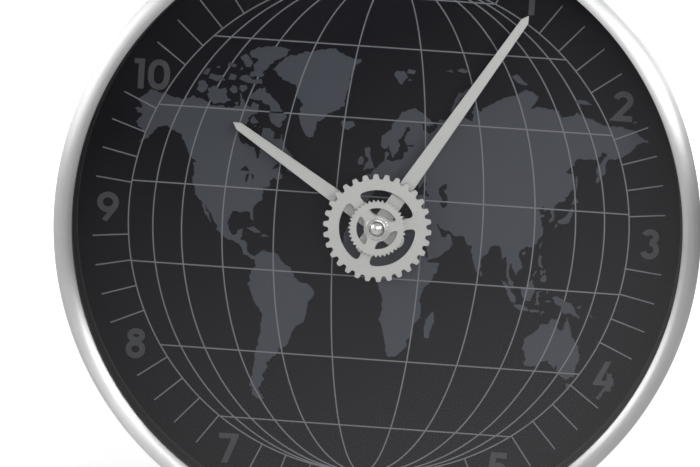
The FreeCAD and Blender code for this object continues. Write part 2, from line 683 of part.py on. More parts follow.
def battery():
    """Round cell with a raised positive end, on the left."""
    body_length = BATTERY_LENGTH - BATTERY_NUB_HEIGHT
    right = BATTERY_LENGTH / 2
    body_start = V(right - body_length, -BATTERY_DEPTH, BATTERY_Z)
    nub_start = V(-right, -BATTERY_DEPTH, BATTERY_Z)
    body = Part.makeCylinder(BATTERY_RADIUS, body_length, body_start, V(1, 0, 0))
    return one(body, Part.makeCylinder(BATTERY_NUB_RADIUS, BATTERY_NUB_HEIGHT, nub_start, V(1, 0, 0)))


def battery_contact_plus():
    """Flat contact at the battery's nub, with a tab up to the board."""
    outer = -CHAMBER_HALF
    inner = outer + CONTACT_THICKNESS
    pad = block(outer, inner, BATTERY_Z - CONTACT_WIDTH / 2, BATTERY_Z + CONTACT_WIDTH / 2,
                BATTERY_DEPTH - CONTACT_WIDTH / 2, BATTERY_DEPTH + CONTACT_WIDTH / 2)
    tab_low = CHAMBER_FLOOR + TAB_RISE
    tab_high = tab_low + TAB_WIDTH
    riser = block(outer, inner, BATTERY_Z, tab_high, BOARD_DEPTH - TAB_WIDTH, BOARD_DEPTH)
    tab = block(outer, outer + TAB_REACH, tab_low, tab_high, BOARD_DEPTH - CONTACT_THICKNESS, BOARD_DEPTH)
    return one(pad, riser, tab)


def battery_contact_minus():
    """Sprung contact at the battery's flat end, with a strip along the bay's wall to the board."""
    outer = CHAMBER_HALF
    inner = outer - CONTACT_THICKNESS
    pad = block(inner, outer, BATTERY_Z - CONTACT_WIDTH / 2, BATTERY_Z + CONTACT_WIDTH / 2,
                BATTERY_DEPTH - CONTACT_WIDTH / 2, BATTERY_DEPTH + CONTACT_WIDTH / 2)
    end = BATTERY_LENGTH / 2
    pad_low = BATTERY_Z - CONTACT_WIDTH / 2
    pad_high = BATTERY_Z + CONTACT_WIDTH / 2
    leaf = prism([(inner, pad_high), (end, BATTERY_Z), (inner, pad_low), (inner, pad_low + CONTACT_THICKNESS),
                  (end + CONTACT_THICKNESS, BATTERY_Z), (inner, pad_high - CONTACT_THICKNESS)],
                 BATTERY_DEPTH - STRIP_WIDTH, BATTERY_DEPTH + STRIP_WIDTH)
    strip_low = CHAMBER_FRONT - STRIP_WIDTH
    strip_top = CHAMBER_FLOOR + CONTACT_THICKNESS
    riser = block(inner, outer, BATTERY_Z, strip_top, BATTERY_DEPTH, CHAMBER_FRONT)
    left, right, low, high = board_edges()
    strip = block(right - TAB_REACH, outer, CHAMBER_FLOOR, strip_top, strip_low, CHAMBER_FRONT)
    return one(pad, leaf, riser, strip)


# ---- Movement housing ------------------------------------------------------

def chamber(low, high):
    """Space for the train above the battery bay."""
    return block(-CHAMBER_HALF, CHAMBER_HALF, CHAMBER_FLOOR, CHAMBER_HALF, low, high)


def bay(low, high):
    """Space for the battery along the bottom."""
    return block(-CHAMBER_HALF, CHAMBER_HALF, -CHAMBER_HALF, BAY_TOP, low, high)


def contact_notches():
    """Notches in the bay's wall where the contacts pass."""
    gap = STACK_GAP
    depth_low = BOARD_DEPTH - TAB_WIDTH - gap
    plus = block(-CHAMBER_HALF, -CHAMBER_HALF + CONTACT_THICKNESS + gap, BAY_TOP, CHAMBER_FLOOR,
                 depth_low, BOARD_DEPTH + gap)
    minus = block(CHAMBER_HALF - CONTACT_THICKNESS - gap, CHAMBER_HALF, BAY_TOP, CHAMBER_FLOOR,
                  HOUSING_SPLIT_DEPTH, CHAMBER_FRONT)
    return [plus, minus]


def plate_posts():
    """Places of the posts that the middle plate hangs from."""
    inset = CHAMBER_HALF - PLATE_GAP - POST_WIDTH / 2
    low = CHAMBER_FLOOR + PLATE_GAP + POST_WIDTH / 2
    left = PLATE_LEFT + POST_WIDTH / 2
    return [(inset, inset), (inset, low), (left, inset)]


def post(place, low, high):
    """Square post between two depths."""
    half = POST_WIDTH / 2
    return block(place[0] - half, place[0] + half, place[1] - half, place[1] + half, low, high)


def movement_front_housing():
    """Front half of the movement: threaded bushing, battery bay, posts and the motion wheel's bearing."""
    shell = eased_square(HOUSING_HALF, HOUSING_CORNER, HOUSING_SPLIT_DEPTH, HOUSING_FRONT)
    shell = cut(shell, chamber(HOUSING_SPLIT_DEPTH, CHAMBER_FRONT), bay(HOUSING_SPLIT_DEPTH, CHAMBER_FRONT),
                *contact_notches())
    bushing_top = DIAL_DEPTH + BUSHING_HEIGHT
    bushing = disc(BUSHING_RADIUS, CHAMBER_FRONT, bushing_top)
    posts = [post(place, PLATE_FRONT, CHAMBER_FRONT) for place in plate_posts()]
    left, right, low, high = board_edges()
    for z in (low + POST_WIDTH, high - POST_WIDTH):
        posts.append(post(((left + right) / 2, z), BOARD_DEPTH + BOARD_THICKNESS, CHAMBER_FRONT))
    bore = disc(BUSHING_BORE, CHAMBER_FRONT, bushing_top)
    pivot = bearing_hole(ARBOR_RADIUS, CHAMBER_FRONT, CHAMBER_FRONT + PIVOT_DEPTH, MOTION)
    return cut(one(shell, bushing, *posts), bore, pivot)


def movement_rear_housing():
    """Rear half of the movement: pivot holes, knob recess and the open battery bay."""
    shell = eased_square(HOUSING_HALF, HOUSING_CORNER, HOUSING_REAR_DEPTH, HOUSING_SPLIT_DEPTH)
    shell = cut(shell, chamber(CHAMBER_REAR, HOUSING_SPLIT_DEPTH), bay(HOUSING_REAR_DEPTH, HOUSING_SPLIT_DEPTH))
    recess_half = KNOB_RADIUS + KNOB_POCKET_GAP
    wall_half = recess_half + HOUSING_WALL
    recess_front = HOUSING_REAR_DEPTH + KNOB_THICKNESS + KNOB_POCKET_GAP
    wall_front = recess_front + HOUSING_WALL
    wall_low = max(KNOB[1] - wall_half, BAY_TOP)
    walls = block(KNOB[0] - wall_half, KNOB[0] + wall_half, wall_low, KNOB[1] + wall_half, HOUSING_REAR_DEPTH,
                  wall_front)
    holes = [block(KNOB[0] - recess_half, KNOB[0] + recess_half, KNOB[1] - recess_half, KNOB[1] + recess_half,
                   HOUSING_REAR_DEPTH, recess_front)]
    holes.append(bearing_hole(KNOB_SHAFT_RADIUS, recess_front, wall_front, KNOB))
    holes.append(bearing_hole(MINUTE_ARBOR_REAR_RADIUS, CHAMBER_REAR - PIVOT_DEPTH, CHAMBER_REAR))
    for place in TRAIN_PIVOTS:
        holes.append(bearing_hole(ARBOR_RADIUS, CHAMBER_REAR - PIVOT_DEPTH, CHAMBER_REAR, place))
    return cut(one(shell, walls), *holes)


def middle_plate():
    """Plate that parts the train from the motion work and bears their pivots."""
    plate = block(PLATE_LEFT, CHAMBER_HALF - PLATE_GAP, CHAMBER_FLOOR + PLATE_GAP, CHAMBER_HALF - PLATE_GAP,
                  PLATE_DEPTH, PLATE_FRONT)
    holes = [bearing_hole(ARBOR_RADIUS, PLATE_DEPTH, PLATE_DEPTH + PIVOT_DEPTH, place) for place in TRAIN_PIVOTS]
    holes.append(bearing_hole(MINUTE_ARBOR_REAR_RADIUS, PLATE_DEPTH, PLATE_FRONT))
    holes.append(bearing_hole(KNOB_SHAFT_RADIUS, PLATE_DEPTH, PLATE_FRONT, KNOB))
    pads = []
    reach = MAGNET_RADIUS + STATOR_GAP + STATOR_RING - POST_WIDTH / 2
    for side in (-reach, reach):
        pads.append(post((ROTOR[0] - reach, ROTOR[1] + side), STATOR_DEPTH + STATOR_THICKNESS, PLATE_DEPTH))
    return cut(one(plate, *pads), *holes)


def rubber_washer():
    """Square rubber washer between the movement and the dial."""
    hole = square(BUSHING_RADIUS + DIAL_HOLE_GAP, HOUSING_FRONT, DIAL_BACK_DEPTH)
    return square(RUBBER_WASHER_SIZE / 2, HOUSING_FRONT, DIAL_BACK_DEPTH).cut(hole)


def fixing_nut():
    """Hexagonal nut that clamps the movement to the dial."""
    corner = NUT_ACROSS_FLATS / 2 / math.cos(math.radians(30))
    hexagon = prism([polar(corner, bearing) for bearing in around(6)], DIAL_DEPTH, DIAL_DEPTH + NUT_HEIGHT)
    return hexagon.cut(disc(BUSHING_RADIUS, DIAL_DEPTH, DIAL_DEPTH + NUT_HEIGHT))


# ---- Pieces ------------------------------------------------------------------

def pieces():
    """Every piece by name."""
    return {
        "case_rim": case_rim(),
        "glass_lens": glass_lens(),
        "dial_surround": dial_surround(),
        "dial": dial(),
        "back_cover": back_cover(),
        "hour_hand": blade(HOUR_HAND_LENGTH, HOUR_TIP_WIDTH, HOUR_PIPE_RADIUS, HOUR_HAND_DEPTH, HOUR_BEARING),
        "minute_hand": blade(MINUTE_HAND_LENGTH, MINUTE_TIP_WIDTH, MINUTE_ARBOR_RADIUS, MINUTE_HAND_DEPTH,
                             MINUTE_BEARING),
        "large_gear": large_gear(),
        "small_gear": small_gear(),
        "cap_nut": cap_nut(),
        "minute_arbor": minute_arbor(),
        "hour_wheel": hour_wheel(),
        "motion_wheel": motion_wheel(),
        "setting_knob": setting_knob(),
        "centre_wheel": centre_wheel(),
        "third_wheel": third_wheel(),
        "seconds_wheel": seconds_wheel(),
        "intermediate_wheel": intermediate_wheel(),
        "rotor_pinion": rotor_pinion(),
        "rotor_magnet": rotor_magnet(),
        "stator": stator(),
        "coil_core": coil_core(),
        "coil_bobbin": coil_bobbin(),
        "coil_winding": coil_winding(),
        "circuit_board": circuit_board(),
        "quartz_crystal": quartz_crystal(),
        "driver_chip": driver_chip(),
        "battery": battery(),
        "battery_contact_plus": battery_contact_plus(),
        "battery_contact_minus": battery_contact_minus(),
        "movement_front_housing": movement_front_housing(),
        "movement_rear_housing": movement_rear_housing(),
        "middle_plate": middle_plate(),
        "rubber_washer": rubber_washer(),
        "fixing_nut": fixing_nut(),
    }


def write_parts():
    """Write each piece to its own file, lowered so that the keyhole is the origin."""
    os.makedirs("parts", exist_ok=True)
    for name, shape in pieces().items():
        shape.translate(V(0, 0, -HANG_HEIGHT))
        shape.exportStep("parts/" + name + ".step")


write_parts()
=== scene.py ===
"""World time wall clock: the looks of its rim, glass, printed dial, hands, gear hub, back and movement.

Lengths are in metres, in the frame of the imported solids: +X to the reader's right, +Z up, the wall at
y = 0 and the reader at -Y. Shapes are drawn in the dial's plane as (x, z) points from the hands' arbor,
in millimetres, and a depth is the distance in front of the wall. Bearings run clockwise from twelve
o'clock, in degrees.
"""
import json
import math

import bpy
import numpy as np
from mathutils import Matrix, Vector
from mathutils.geometry import tessellate_polygon


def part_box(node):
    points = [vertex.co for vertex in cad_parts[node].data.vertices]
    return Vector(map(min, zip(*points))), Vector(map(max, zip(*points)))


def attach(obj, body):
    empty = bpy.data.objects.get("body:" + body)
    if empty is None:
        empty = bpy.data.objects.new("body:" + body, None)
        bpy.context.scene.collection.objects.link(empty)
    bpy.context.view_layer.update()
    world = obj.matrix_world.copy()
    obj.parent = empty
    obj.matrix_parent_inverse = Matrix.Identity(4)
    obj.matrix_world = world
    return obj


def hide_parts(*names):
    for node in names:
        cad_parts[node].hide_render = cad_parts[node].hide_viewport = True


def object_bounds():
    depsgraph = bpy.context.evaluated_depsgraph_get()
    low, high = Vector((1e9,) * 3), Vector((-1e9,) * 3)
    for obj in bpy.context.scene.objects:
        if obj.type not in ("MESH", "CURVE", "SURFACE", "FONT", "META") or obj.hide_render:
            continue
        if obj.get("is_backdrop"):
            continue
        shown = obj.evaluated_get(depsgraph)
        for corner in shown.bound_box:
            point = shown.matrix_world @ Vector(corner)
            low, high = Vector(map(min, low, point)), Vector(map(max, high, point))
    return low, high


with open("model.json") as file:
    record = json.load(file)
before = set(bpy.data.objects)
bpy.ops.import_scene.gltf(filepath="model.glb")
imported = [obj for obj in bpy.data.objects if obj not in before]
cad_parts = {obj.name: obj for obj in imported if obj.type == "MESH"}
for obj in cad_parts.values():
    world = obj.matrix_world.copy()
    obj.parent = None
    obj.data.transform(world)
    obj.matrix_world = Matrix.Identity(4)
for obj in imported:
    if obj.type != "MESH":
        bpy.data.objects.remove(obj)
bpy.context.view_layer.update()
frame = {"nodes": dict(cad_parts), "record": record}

bl_info = {
    "name": "World time wall clock",
    "version": (1, 0, 0),
    "blender": (4, 5, 0),
    "location": "3D View > Sidebar > World clock",
    "description": "Builds the looks of a wall clock with a world map dial and a gear hub",
    "category": "Object",
}

MM = 0.001
BODY_CASE = "clock_case"
BODY_MINUTE = "minute_hand_body"
BODY_HOUR = "hour_hand_body"


# ---- Places read from the frame -----------------------------------------------

def depths(node):
    """Rear and front depth of a node, in millimetres."""
    low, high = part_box(node)
    return -high.y / MM, -low.y / MM


def half_width(node):
    """Half of a node's width, in millimetres."""
    low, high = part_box(node)
    return (high.x - low.x) / 2 / MM


CASE_LOW, CASE_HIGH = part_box("case_rim")
HUB = Vector(((CASE_LOW.x + CASE_HIGH.x) / 2, 0, (CASE_LOW.z + CASE_HIGH.z) / 2))
DIAL_FRONT = depths("dial")[1]


# ---- Sizes and colours a user would change -------------------------------------

def length(name, value, description):
    """Length property in metres, from a value in millimetres."""
    return bpy.props.FloatProperty(name=name, description=description, default=value * MM, min=0.0,
                                   precision=5, unit="LENGTH", subtype="DISTANCE")


def colour(name, value, description):
    """Colour property."""
    return bpy.props.FloatVectorProperty(name=name, description=description, default=value, size=3,
                                         min=0.0, max=1.0, subtype="COLOR")


def share(name, value, description):
    """Number from 0 to 1."""
    return bpy.props.FloatProperty(name=name, description=description, default=value, min=0.0, max=1.0,
                                   subtype="FACTOR")


class ClockSizes(bpy.types.PropertyGroup):
    """Sizes of the clock's visible pieces."""

    nose_radius: length("Rim nose", 5.8, "Radius of the rim's rounded front edge")
    lip_radius: length("Lip radius", 141.3, "Radius of the opening in the rim")
    lip_setback: length("Lip setback", 1.5, "How far the lip's edge lies behind the rim's front")
    rim_wall: length("Rim wall", 2.0, "Thickness of the rim's side")
    surround_wall: length("Surround wall", 2.5, "Thickness of the dark ring behind the glass")
    globe_radius: length("Globe radius", 116.9, "Radius of the circle round the globe's grid")
    grid_line: length("Grid line", 0.6, "Width of the printed grid lines")
    mark_length: length("Minute mark", 16.6, "Length of a minute mark")
    numeral_radius: length("Numeral radius", 126.8, "Distance of the numerals from the arbor")
    numeral_height: length("Numeral height", 14.0, "Height of the numerals")
    print_height: length("Print height", 0.05, "Thickness of the print on the dial")
    coast_spacing: length("Coast spacing", 0.55, "Distance between the points of a coastline")
    coast_roughness: length("Coast roughness", 0.42, "Size of the bays and capes along a coastline")
    sheet_edge: length("Sheet edge", 0.14, "Rounding on the edges of the hands and gears")
    hand_root: length("Hand root", 7.7, "Width of both hands at the arbor")
    hand_tail: length("Hand tail", 14.3, "How far the hands reach behind the arbor")
    minute_length: length("Minute hand", 121.0, "Length of the minute hand")
    hour_length: length("Hour hand", 83.0, "Length of the hour hand")
    minute_tip: length("Minute hand tip", 3.8, "Width of the minute hand before its point")
    hour_tip: length("Hour hand tip", 3.8, "Width of the hour hand before its point")
    cap_radius: length("Cap radius", 3.8, "Radius of the domed cap nut")
    screw_circle: length("Screw circle", 134.0, "Distance of the back's screws from the arbor")
    screw_head: length("Screw head", 2.9, "Radius of the back's screw heads")


class ClockColours(bpy.types.PropertyGroup):
    """Colours and gloss of the clock's finishes."""

    metal: colour("Rim metal", (0.72, 0.72, 0.725), "Satin metal of the rim")
    metal_roughness: share("Rim roughness", 0.42, "How much the rim's brushing blurs what it reflects")
    dial: colour("Dial", (0.0036, 0.0031, 0.0062), "Ground of the dial")
    land: colour("Land", (0.046, 0.051, 0.064), "Printed land")
    grid: colour("Grid", (0.155, 0.160, 0.175), "Printed grid and minute marks")
    numeral: colour("Numerals", (0.052, 0.053, 0.058), "Printed numerals")
    hand: colour("Hands", (0.47, 0.47, 0.46), "Silver paint of the hands and gears")
    nut: colour("Cap nut", (0.80, 0.79, 0.77), "Plating of the cap nut")
    black: colour("Black plastic", (0.018, 0.018, 0.019), "Moulded back, movement and surround")
    acetal: colour("Wheels", (0.72, 0.70, 0.64), "Moulded wheels of the movement")
    brass: colour("Brass", (0.72, 0.52, 0.24), "Turned brass")
    steel: colour("Steel", (0.56, 0.56, 0.57), "Plated steel")
    copper: colour("Copper", (0.70, 0.27, 0.10), "Enamelled wire")
    board: colour("Board", (0.035, 0.16, 0.06), "Lacquer of the circuit board")
    sleeve: colour("Battery sleeve", (0.30, 0.32, 0.35), "Plain sleeve of the battery")
    band: colour("Battery band", (0.03, 0.10, 0.05), "Band at the battery's positive end")
    rubber: colour("Rubber", (0.02, 0.02, 0.02), "Rubber washer")
    magnet: colour("Magnet", (0.06, 0.06, 0.065), "Sintered magnet")
    floor: colour("Floor", (0.82, 0.82, 0.82), "Floor under the clock")


# ---- Meshes ---------------------------------------------------------------------

def grid_faces(down, across, close_down=True, close_across=True):
    """Four-sided faces of a grid of points, closed round in either direction."""
    i = np.arange(down if close_down else down - 1)[:, None]
    j = np.arange(across if close_across else across - 1)[None, :]
    i_next = (i + 1) % down
    j_next = (j + 1) % across
    corners = [i * across + j, i_next * across + j, i_next * across + j_next, i * across + j_next]
    return np.stack([np.broadcast_to(c, (i.size, j.size)) for c in corners], -1).reshape(-1, 4)


def facing_out(points, bands):
    """Bands turned so that the closed shell's faces look out: its volume, summed from cones, is positive."""
    middle = points.mean(0)
    volume = 0.0
    for rows, smooth in bands:
        corners = points[rows] - middle
        for k in range(1, rows.shape[1] - 1):
            volume += np.einsum("ij,ij->", corners[:, 0], np.cross(corners[:, k], corners[:, k + 1]))
    if volume < 0:
        bands = [(rows[:, ::-1], smooth) for rows, smooth in bands]
    return points, bands


def turned(profile, steps, centre=(0.0, 0.0)):
    """Surface of revolution: x = cx + r sin b, z = cz + r cos b for each bearing b and each (r, depth).

    A profile that starts on the axis also ends there and is closed by two poles; any other is a closed chain.
    """
    profile = np.array(profile, float)
    poled = profile[0, 0] == 0
    chain = profile[1:-1] if poled else profile
    bearing = np.linspace(0, 2 * math.pi, steps, endpoint=False)[:, None]
    x = centre[0] + chain[:, 0] * np.sin(bearing)
    z = centre[1] + chain[:, 0] * np.cos(bearing)
    points = np.stack([x, z, np.broadcast_to(chain[:, 1], x.shape)], -1).reshape(-1, 3)
    bands = [(grid_faces(steps, len(chain), True, not poled), True)]
    if poled:
        ring = np.arange(steps) * len(chain)
        ring_next = np.roll(ring, -1)
        last = len(chain) - 1
        first_pole = np.full(steps, len(points))
        points = np.vstack([points, (*centre, profile[0, 1]), (*centre, profile[-1, 1])])
        bands.append((np.stack([first_pole, ring_next, ring], -1), True))
        bands.append((np.stack([first_pole + 1, ring + last, ring_next + last], -1), True))
    return facing_out(points, bands)


SHORTEST_RUN = 1e-9
SHARPEST_MITRE = 0.35
FILL_TOLERANCE = 0.02


def sideways(points, closed=True):
    """Mitre at each point of a chain: (n1 + n2) / (1 + n1.n2) of the left normals of its two runs."""
    run = np.roll(points, -1, 0) - points
    run /= np.maximum(np.linalg.norm(run, axis=1, keepdims=True), SHORTEST_RUN)
    normal = np.stack([-run[:, 1], run[:, 0]], -1)
    before = np.roll(normal, 1, 0)
    if not closed:
        normal[-1] = before[-1]
        before[0] = normal[0]
    divisor = np.maximum(1 + (normal * before).sum(1, keepdims=True), SHARPEST_MITRE)
    return (normal + before) / divisor


def area(points):
    """Signed area inside a closed chain, half the sum of its cross products."""
    following = np.roll(points, -1, 0)
    return (points[:, 0] * following[:, 1] - following[:, 0] * points[:, 1]).sum() / 2


def wound(points, way):
    """Closed chain that runs anticlockwise for way 1 and clockwise for way -1."""
    points = np.array(points, float)
    return points if area(points) * way > 0 else points[::-1]


def eased_edge(low, high, ease, steps):
    """Chain of (inset, depth) up a side, a quarter circle of radius ease at each end."""
    if ease <= 0:
        return np.array([(0, low), (0, high)])
    turn = np.linspace(0, math.pi / 2, steps + 1)
    back = np.stack([ease * (1 - np.sin(turn)), low + ease * (1 - np.cos(turn))], -1)
    front = np.stack([ease * (1 - np.cos(turn)), high - ease * (1 - np.sin(turn))], -1)
    return np.vstack([back, front])


def plate(outline, holes, low, high, ease=0.0, steps=3):
    """Plate between two depths: each outline is repeated up the side, moved inwards by its mitre times the
    inset of the eased edge, and the two flat faces are filled between the outlines."""
    loops = [wound(outline, 1)] + [wound(hole, -1) for hole in holes]
    edge = eased_edge(low, high, ease, steps)
    points = []
    bands = []
    first = []
    last = []
    count = 0
    for loop in loops:
        flat = loop[None] + edge[:, :1, None] * sideways(loop)[None]
        depth = np.broadcast_to(edge[:, 1][:, None, None], (*flat.shape[:2], 1))
        points.append(np.concatenate([flat, depth], -1).reshape(-1, 3))
        rows = grid_faces(len(edge), len(loop), False, True) + count
        bands.append((rows[:, [1, 0, 3, 2]], ease > 0))
        first.append(np.arange(len(loop)) + count)
        last.append(first[-1] + (len(edge) - 1) * len(loop))
        count += len(points[-1])
    points = np.vstack(points)
    first = np.concatenate(first)
    last = np.concatenate(last)
    fronts = [points[ring, :2] for ring in np.split(last, np.cumsum([len(loop) for loop in loops])[:-1])]
    rows = np.array(tessellate_polygon([[Vector((*point, 0)) for point in ring] for ring in fronts]))
    a, b, c = (points[last[rows[:, k]], :2] for k in range(3))
    turn = (b[:, 0] - a[:, 0]) * (c[:, 1] - a[:, 1]) - (b[:, 1] - a[:, 1]) * (c[:, 0] - a[:, 0])
    rows = np.where(turn[:, None] < 0, rows[:, ::-1], rows)
    filled = abs(turn).sum() / 2
    wanted = sum(area(ring) for ring in fronts)
    if abs(filled - wanted) > FILL_TOLERANCE * wanted:
        raise RuntimeError(f"a flat face isn't filled: {filled:.3f} of {wanted:.3f} square mm")
    bands += [(last[rows], False), (first[rows[:, ::-1]], False)]
    return facing_out(points, bands)


def ribbon(path, width, low, high, closed=False):
    """Flat line of constant width: a rectangle carried along a path in the dial's plane."""
    path = np.array(path, float)
    side = sideways(path, closed) * width / 2
    left = path + side
    right = path - side
    ring = [(left, low), (left, high), (right, high), (right, low)]
    points = np.stack([np.c_[flat, np.full(len(path), depth)] for flat, depth in ring], 1).reshape(-1, 3)
    bands = [(grid_faces(len(path), 4, closed, True), False)]
    if not closed:
        end = 4 * (len(path) - 1)
        bands.append((np.array([[0, 1, 2, 3], [end + 3, end + 2, end + 1, end]]), False))
    return facing_out(points, bands)


def moved(shell, x, z):
    """Shell shifted in the dial's plane."""
    points, bands = shell
    return points + np.array([x, z, 0.0]), bands


def spun(shell, bearing):
    """Shell turned clockwise about the arbor."""
    points, bands = shell
    cos, sin = math.cos(math.radians(bearing)), math.sin(math.radians(bearing))
    x, z = points[:, 0], points[:, 1]
    return np.stack([x * cos + z * sin, z * cos - x * sin, points[:, 2]], -1), bands


def piece(name, shells, finish, body, slot, *stands_for):
    """Mesh object made of closed shells, riding on a body and standing for the CAD nodes it replaces."""
    points = []
    faces = []
    smooth = []
    count = 0
    for shell_points, bands in shells:
        points.append(shell_points)
        for rows, soft in bands:
            faces += (rows + count).tolist()
            smooth += [soft] * len(rows)
        count += len(shell_points)
    flat = np.vstack(points) * MM
    place = np.stack([flat[:, 0] + HUB.x, -flat[:, 2], flat[:, 1] + HUB.z], -1)
    mesh = bpy.data.meshes.new(name)
    mesh.from_pydata(place.tolist(), [], faces)
    mesh.polygons.foreach_set("use_smooth", smooth)
    mesh.materials.append(finish)
    mesh.update()
    made = bpy.data.objects.new(name, mesh)
    bpy.context.scene.collection.objects.link(made)
    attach(made, body)
    if stands_for:
        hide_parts(*stands_for)
    return made


def soften(made, limit=35.0):
    """Curved faces that meet at less than the limit shade as one surface; flat faces stay flat."""
    flags = np.empty(len(made.data.polygons), bool)
    made.data.polygons.foreach_get("use_smooth", flags)
    made.data.set_sharp_from_angle(angle=math.radians(limit))
    made.data.polygons.foreach_set("use_smooth", flags)
    return made


# ---- Outlines ---------------------------------------------------------------------

def polar(radius, bearing):
    """Points (x, z) at radii and bearings clockwise from twelve."""
    turn = np.radians(bearing)
    return np.stack([radius * np.sin(turn), radius * np.cos(turn)], -1)


def circle(radius, steps):
    """Closed circle about (0, 0)."""
    return polar(radius, np.arange(steps) * 360.0 / steps)


def oval(half_x, half_z, centre, steps, power):
    """Closed oval |x/a|^p + |z/b|^p = 1."""
    turn = np.linspace(0, 2 * math.pi, steps, endpoint=False)
    x = np.sign(np.cos(turn)) * np.abs(np.cos(turn)) ** (2 / power)
    z = np.sign(np.sin(turn)) * np.abs(np.sin(turn)) ** (2 / power)
    return np.stack([centre[0] + half_x * x, centre[1] + half_z * z], -1)


def rectangle(x_low, x_high, z_low, z_high):
    """Closed rectangle."""
    return np.array([(x_low, z_low), (x_high, z_low), (x_high, z_high), (x_low, z_high)], float)


def bend(first, corner, last, steps):
    """Quadratic curve (1-t)^2 A + 2t(1-t) B + t^2 C from the first point A to the last C, by the corner B."""
    t = np.linspace(0, 1, steps)[:, None]
    return (1 - t) ** 2 * np.array(first) + 2 * t * (1 - t) * np.array(corner) + t ** 2 * np.array(last)


LONGEST_CUT = 0.48


def rounded(points, cut, steps=5):
    """Closed chain with a quadratic curve in place of each corner, starting a cut's length before it."""
    points = np.array(points, float)
    back = np.roll(points, 1, 0) - points
    ahead = np.roll(points, -1, 0) - points
    back_length = np.linalg.norm(back, axis=1, keepdims=True)
    ahead_length = np.linalg.norm(ahead, axis=1, keepdims=True)
    start = points + back / back_length * np.minimum(cut, LONGEST_CUT * back_length)
    end = points + ahead / ahead_length * np.minimum(cut, LONGEST_CUT * ahead_length)
    t = np.linspace(0, 1, steps)[None, :, None]
    curve = (1 - t) ** 2 * start[:, None] + 2 * t * (1 - t) * points[:, None] + t ** 2 * end[:, None]
    return curve.reshape(-1, 2)


def gear_outline(teeth, first_bearing, flank, cut):
    """Teeth round a circle: each is the flank's points (radius, half width in degrees) and their mirror."""
    bearings = first_bearing + np.arange(teeth) * 360.0 / teeth
    radius = np.array([r for r, half in flank])
    half = np.array([h for r, h in flank])
    radius = np.concatenate([radius, radius[::-1]])
    offset = np.concatenate([-half, half[::-1]])
    points = polar(np.tile(radius, teeth), (bearings[:, None] + offset[None]).ravel())
    return rounded(points, cut)


def slot_outline(inner, outer, spoke, corner, bearing, count):
    """Long slot between two parallel-sided spokes: arcs at two radii joined by rounded corners."""
    def half(radius):
        return 180.0 / count - math.degrees(math.asin(spoke / 2 / radius))

    def arc(radius, start, end, steps):
        return polar(radius, np.linspace(start, end, steps))

    corner_in = min(corner, (outer - inner) / 3)
    turn_out = half(outer) - math.degrees(corner / outer)
    turn_in = half(inner) - math.degrees(corner_in / inner)
    foot = inner + corner_in
    head = outer - corner
    side = np.vstack([bend(polar(inner, turn_in), polar(inner, half(inner)), polar(foot, half(foot)), 7),
                      bend(polar(head, half(head)), polar(outer, half(outer)), polar(outer, turn_out), 9)])
    mirrored = side[::-1] * np.array([-1, 1])
    loop = np.vstack([side, arc(outer, turn_out, -turn_out, 26)[1:-1], mirrored,
                      arc(inner, -turn_in, turn_in, 10)[1:-1]])
    turn = math.radians(bearing + 180.0 / count)
    cos, sin = math.cos(turn), math.sin(turn)
    return np.stack([loop[:, 0] * cos + loop[:, 1] * sin, loop[:, 1] * cos - loop[:, 0] * sin], -1)
